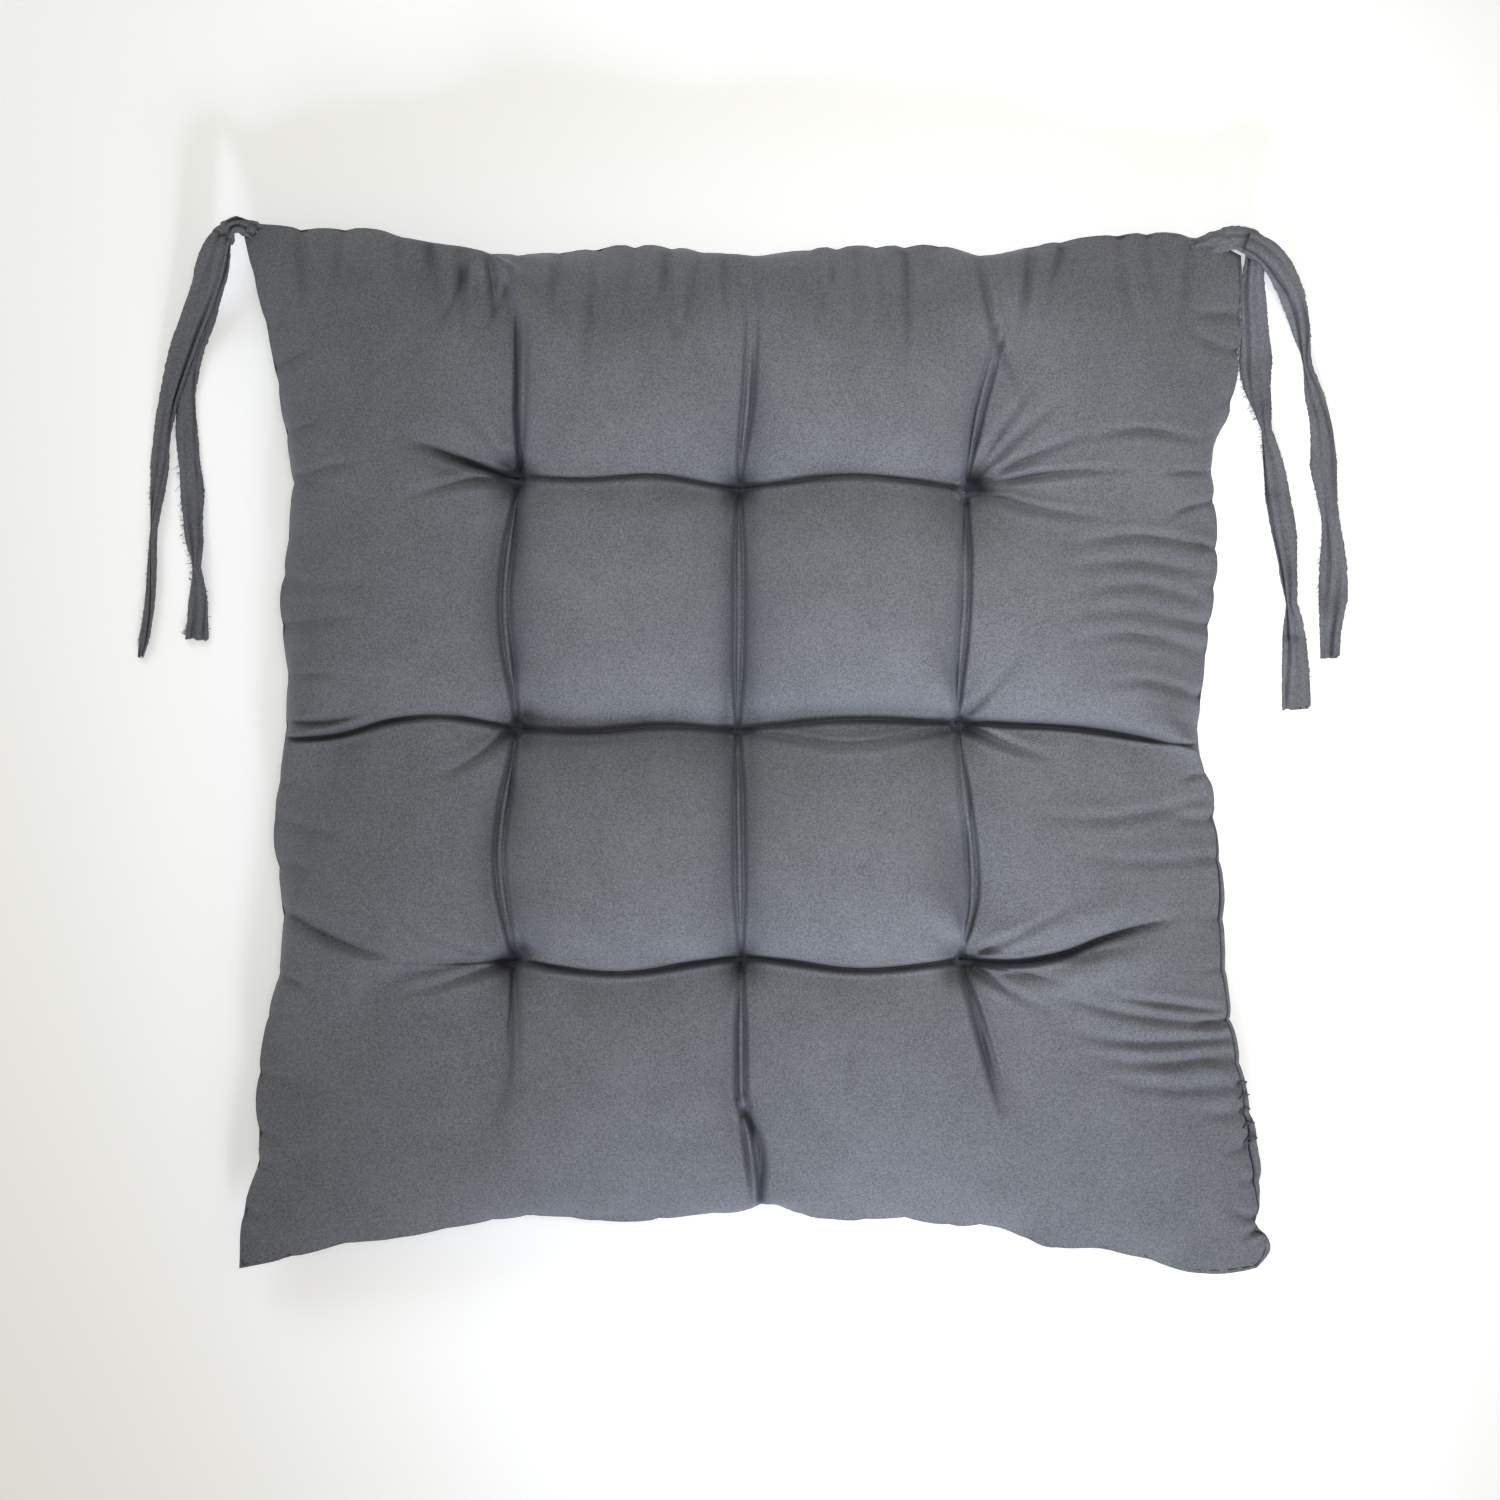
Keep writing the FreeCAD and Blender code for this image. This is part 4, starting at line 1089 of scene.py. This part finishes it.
# ---------------------------------------------------------------- stage


def area_light(name, place, target, size, power, colour, spread):
    light = bpy.data.lights.new(name, "AREA")
    light.shape = "RECTANGLE"
    light.size, light.size_y = size
    light.energy = power
    light.color = colour
    light.spread = math.radians(spread)
    lamp = bpy.data.objects.new(name, light)
    lamp.location = place
    lamp.rotation_euler = (Vector(target) - Vector(place)).to_track_quat("-Z", "Y").to_euler()
    bpy.context.scene.collection.objects.link(lamp)


LIGHTS = [  # name, place, target, size, watts, colour, spread in degrees
    ("back_fill", (-1.0, 1.2, 1.0), (0, 0, 0), (0.8, 0.8), 10.5, (0.79, 0.88, 1.0), 180),
    ("front_key", (0.15, -1.3, 0.6), (0.06, 0, 0), (0.35, 0.3), 0.8, (0.76, 0.83, 1.0), 30),
    ("front_right", (0.45, -1.1, 0.45), (0.1, 0.05, 0), (0.35, 0.25), 0.17, (0.9, 0.96, 1.0), 30),
    ("overhead", (0.15, 0.1, 1.5), (0.1, 0.05, 0), (0.3, 0.3), 0.34, (0.96, 0.97, 1.0), 25),
]
CAMERA_HEIGHT = 1.9
VIEW_LEVEL, VIEW_WIDTH = 0.03, 0.581  # height of a plane, and how much of it the picture takes in
SENSOR = 36


def build_stage():
    """Pale glowing table, warm sky, soft lights from all round, and the camera over the pad."""
    bpy.ops.mesh.primitive_plane_add(size=12, location=(0, 0, 0))
    floor = bpy.context.object
    floor.name = "floor"
    floor.data.materials.append(plain_floor_material())
    for light in LIGHTS:
        area_light(*light)
    world = bpy.data.worlds.new("studio")
    bpy.context.scene.world = world
    world.use_nodes = True
    set_inputs(world.node_tree.nodes["Background"], Color=(1.0, 0.9, 0.66, 1), Strength=0.33)
    bpy.context.scene.view_settings.view_transform = "Standard"

    camera_data = bpy.data.cameras.new("camera")
    camera = bpy.data.objects.new("camera", camera_data)
    bpy.context.scene.collection.objects.link(camera)
    bpy.context.scene.camera = camera
    camera_data.sensor_width = SENSOR
    camera_data.lens = SENSOR * (CAMERA_HEIGHT - VIEW_LEVEL) / VIEW_WIDTH
    camera.location = (0, -2.7 * MM, CAMERA_HEIGHT)
    camera.rotation_euler = (0, 0, 0)


# ---------------------------------------------------------------- build

# The last two numbers of the cover's and the ties' cloth set their painted shade: how strongly it darkens the
# folds, and how far it reaches in millimetres.
cover_cloth = brushed_cloth("brushed_cover", (0.088, 0.091, 0.1), (0.163, 0.168, 0.183), 1.0, 0.92, 16)
tie_cloth = brushed_cloth("tie_cloth", (0.1, 0.103, 0.112), (0.175, 0.18, 0.195), 1.2, 0.95, 4)
thread_look = brushed_cloth("dark_thread", (0.045, 0.047, 0.052), (0.07, 0.073, 0.08), 0.5)
tack_look = brushed_cloth("grey_thread", (0.09, 0.093, 0.1), (0.14, 0.144, 0.155), 0.5)
frayed_look = brushed_cloth("frayed_yarn", (0.16, 0.165, 0.175), (0.24, 0.245, 0.26), 0.5)
wadding_look = brushed_cloth("wadding", (0.72, 0.72, 0.7), (0.82, 0.82, 0.8), 2.0)

build_stage()

STRAPS = {
    "left_outer": ("left_ties", "tie_left_outer", 0.1727),
    "left_inner": ("left_ties", "tie_left_inner", 0.1655),
    "right_inner": ("right_ties", "tie_right_inner", 0.1828),
    "right_outer": ("right_ties", "tie_right_outer", 0.1696),
}
FRAYED = {  # edge (0 left, 1 right), range along Y, threads, their length in millimetres, dark or not; the dark ones are painted shade under the pad's edge
    "left_outer": [(0, (36, 100), 26, 1.6, False)],
    "left_inner": [
        (0, (64, 112), 60, 2.2, False), (1, (41, 60), 10, 1.4, False), (0, (40, 46), 14, 2.0, False),
    ],
    "right_inner": [
        # The dense dark threads at Y 146 to 181 are painted shade, a dark fill standing in for the shadow
        # under the pad's overhang.
        (0, (112, 172), 90, 2.0, False), (1, (14, 60), 18, 1.2, False), (0, (146, 181), 170, 2.8, True),
    ],
    "right_outer": [(0, (58, 100), 26, 1.5, False), (1, (110, 180), 16, 1.0, False)],
}
roots = {}
for number, side in enumerate(("left", "right")):
    root, _, left_edge, right_edge = strap(f"{side}_root", 90 + 5 * number)
    finish_piece(root, tie_cloth, "pad", [f"tie_tab_{side}"])
    tack = bartack(f"{side}_bartack", left_edge, right_edge, *TACKS[side])
    finish_piece(tack, tack_look, "pad", [f"bartack_thread_{side}"])
    roots[f"{side}_inner"] = [root, tack]
for number, (name, (body, node, length)) in enumerate(STRAPS.items()):
    piece, path, left_edge, right_edge = strap(name, 40 + 3 * number)
    finish_piece(piece, tie_cloth, body, [node])
    extra = roots.get(name, [])
    for k, (edge, places, count, reach, dark) in enumerate(FRAYED[name]):
        line, outward, seed = (left_edge, right_edge)[edge], (-1, 1)[edge], 70 + 5 * number + k
        loose = whiskers(f"{name}_fray_{k}", line, outward, places, count, reach, seed)
        # Dark threads are painted shade; the others show the frayed yarn's own colour.
        extra.append(finish_piece(loose, thread_look if dark else frayed_look, body))

panels = inflate()
top_grid, bottom_grid = press_folds(crowd(panels[TOP])), crowd(panels[BOTTOM])[::2, ::2]
top = finish_piece(grid_mesh("top_panel", top_grid), cover_cloth, "pad", ["top_cover"])
under = grid_mesh("bottom_panel", bottom_grid, flip=True)
finish_piece(under, cover_cloth, "pad", ["bottom_cover"])
filling = finish_piece(make_wadding(top_grid, bottom_grid), wadding_look, "pad", ["fibre_filling"])
finish_piece(seam_thread(top_grid, bottom_grid), thread_look, "pad", ["perimeter_seam_thread"])
finish_piece(seam_lip(top_grid), cover_cloth, "pad")
stitches = closing_stitches(top_grid, bottom_grid)
finish_piece(stitches, thread_look, "pad", ["closing_seam_thread"])
for r, row in enumerate(TUFT_ROWS):
    for c, column in enumerate(TUFT_COLUMNS):
        i, j = FINE // 4 * (c + 1), FINE // 4 * (r + 1)
        thread = tuft_thread(f"tuft_{row}_{column}", top_grid[i, j], bottom_grid[i // 2, j // 2])
        finish_piece(thread, thread_look, "pad", [f"tuft_thread_{row}_{column}"])
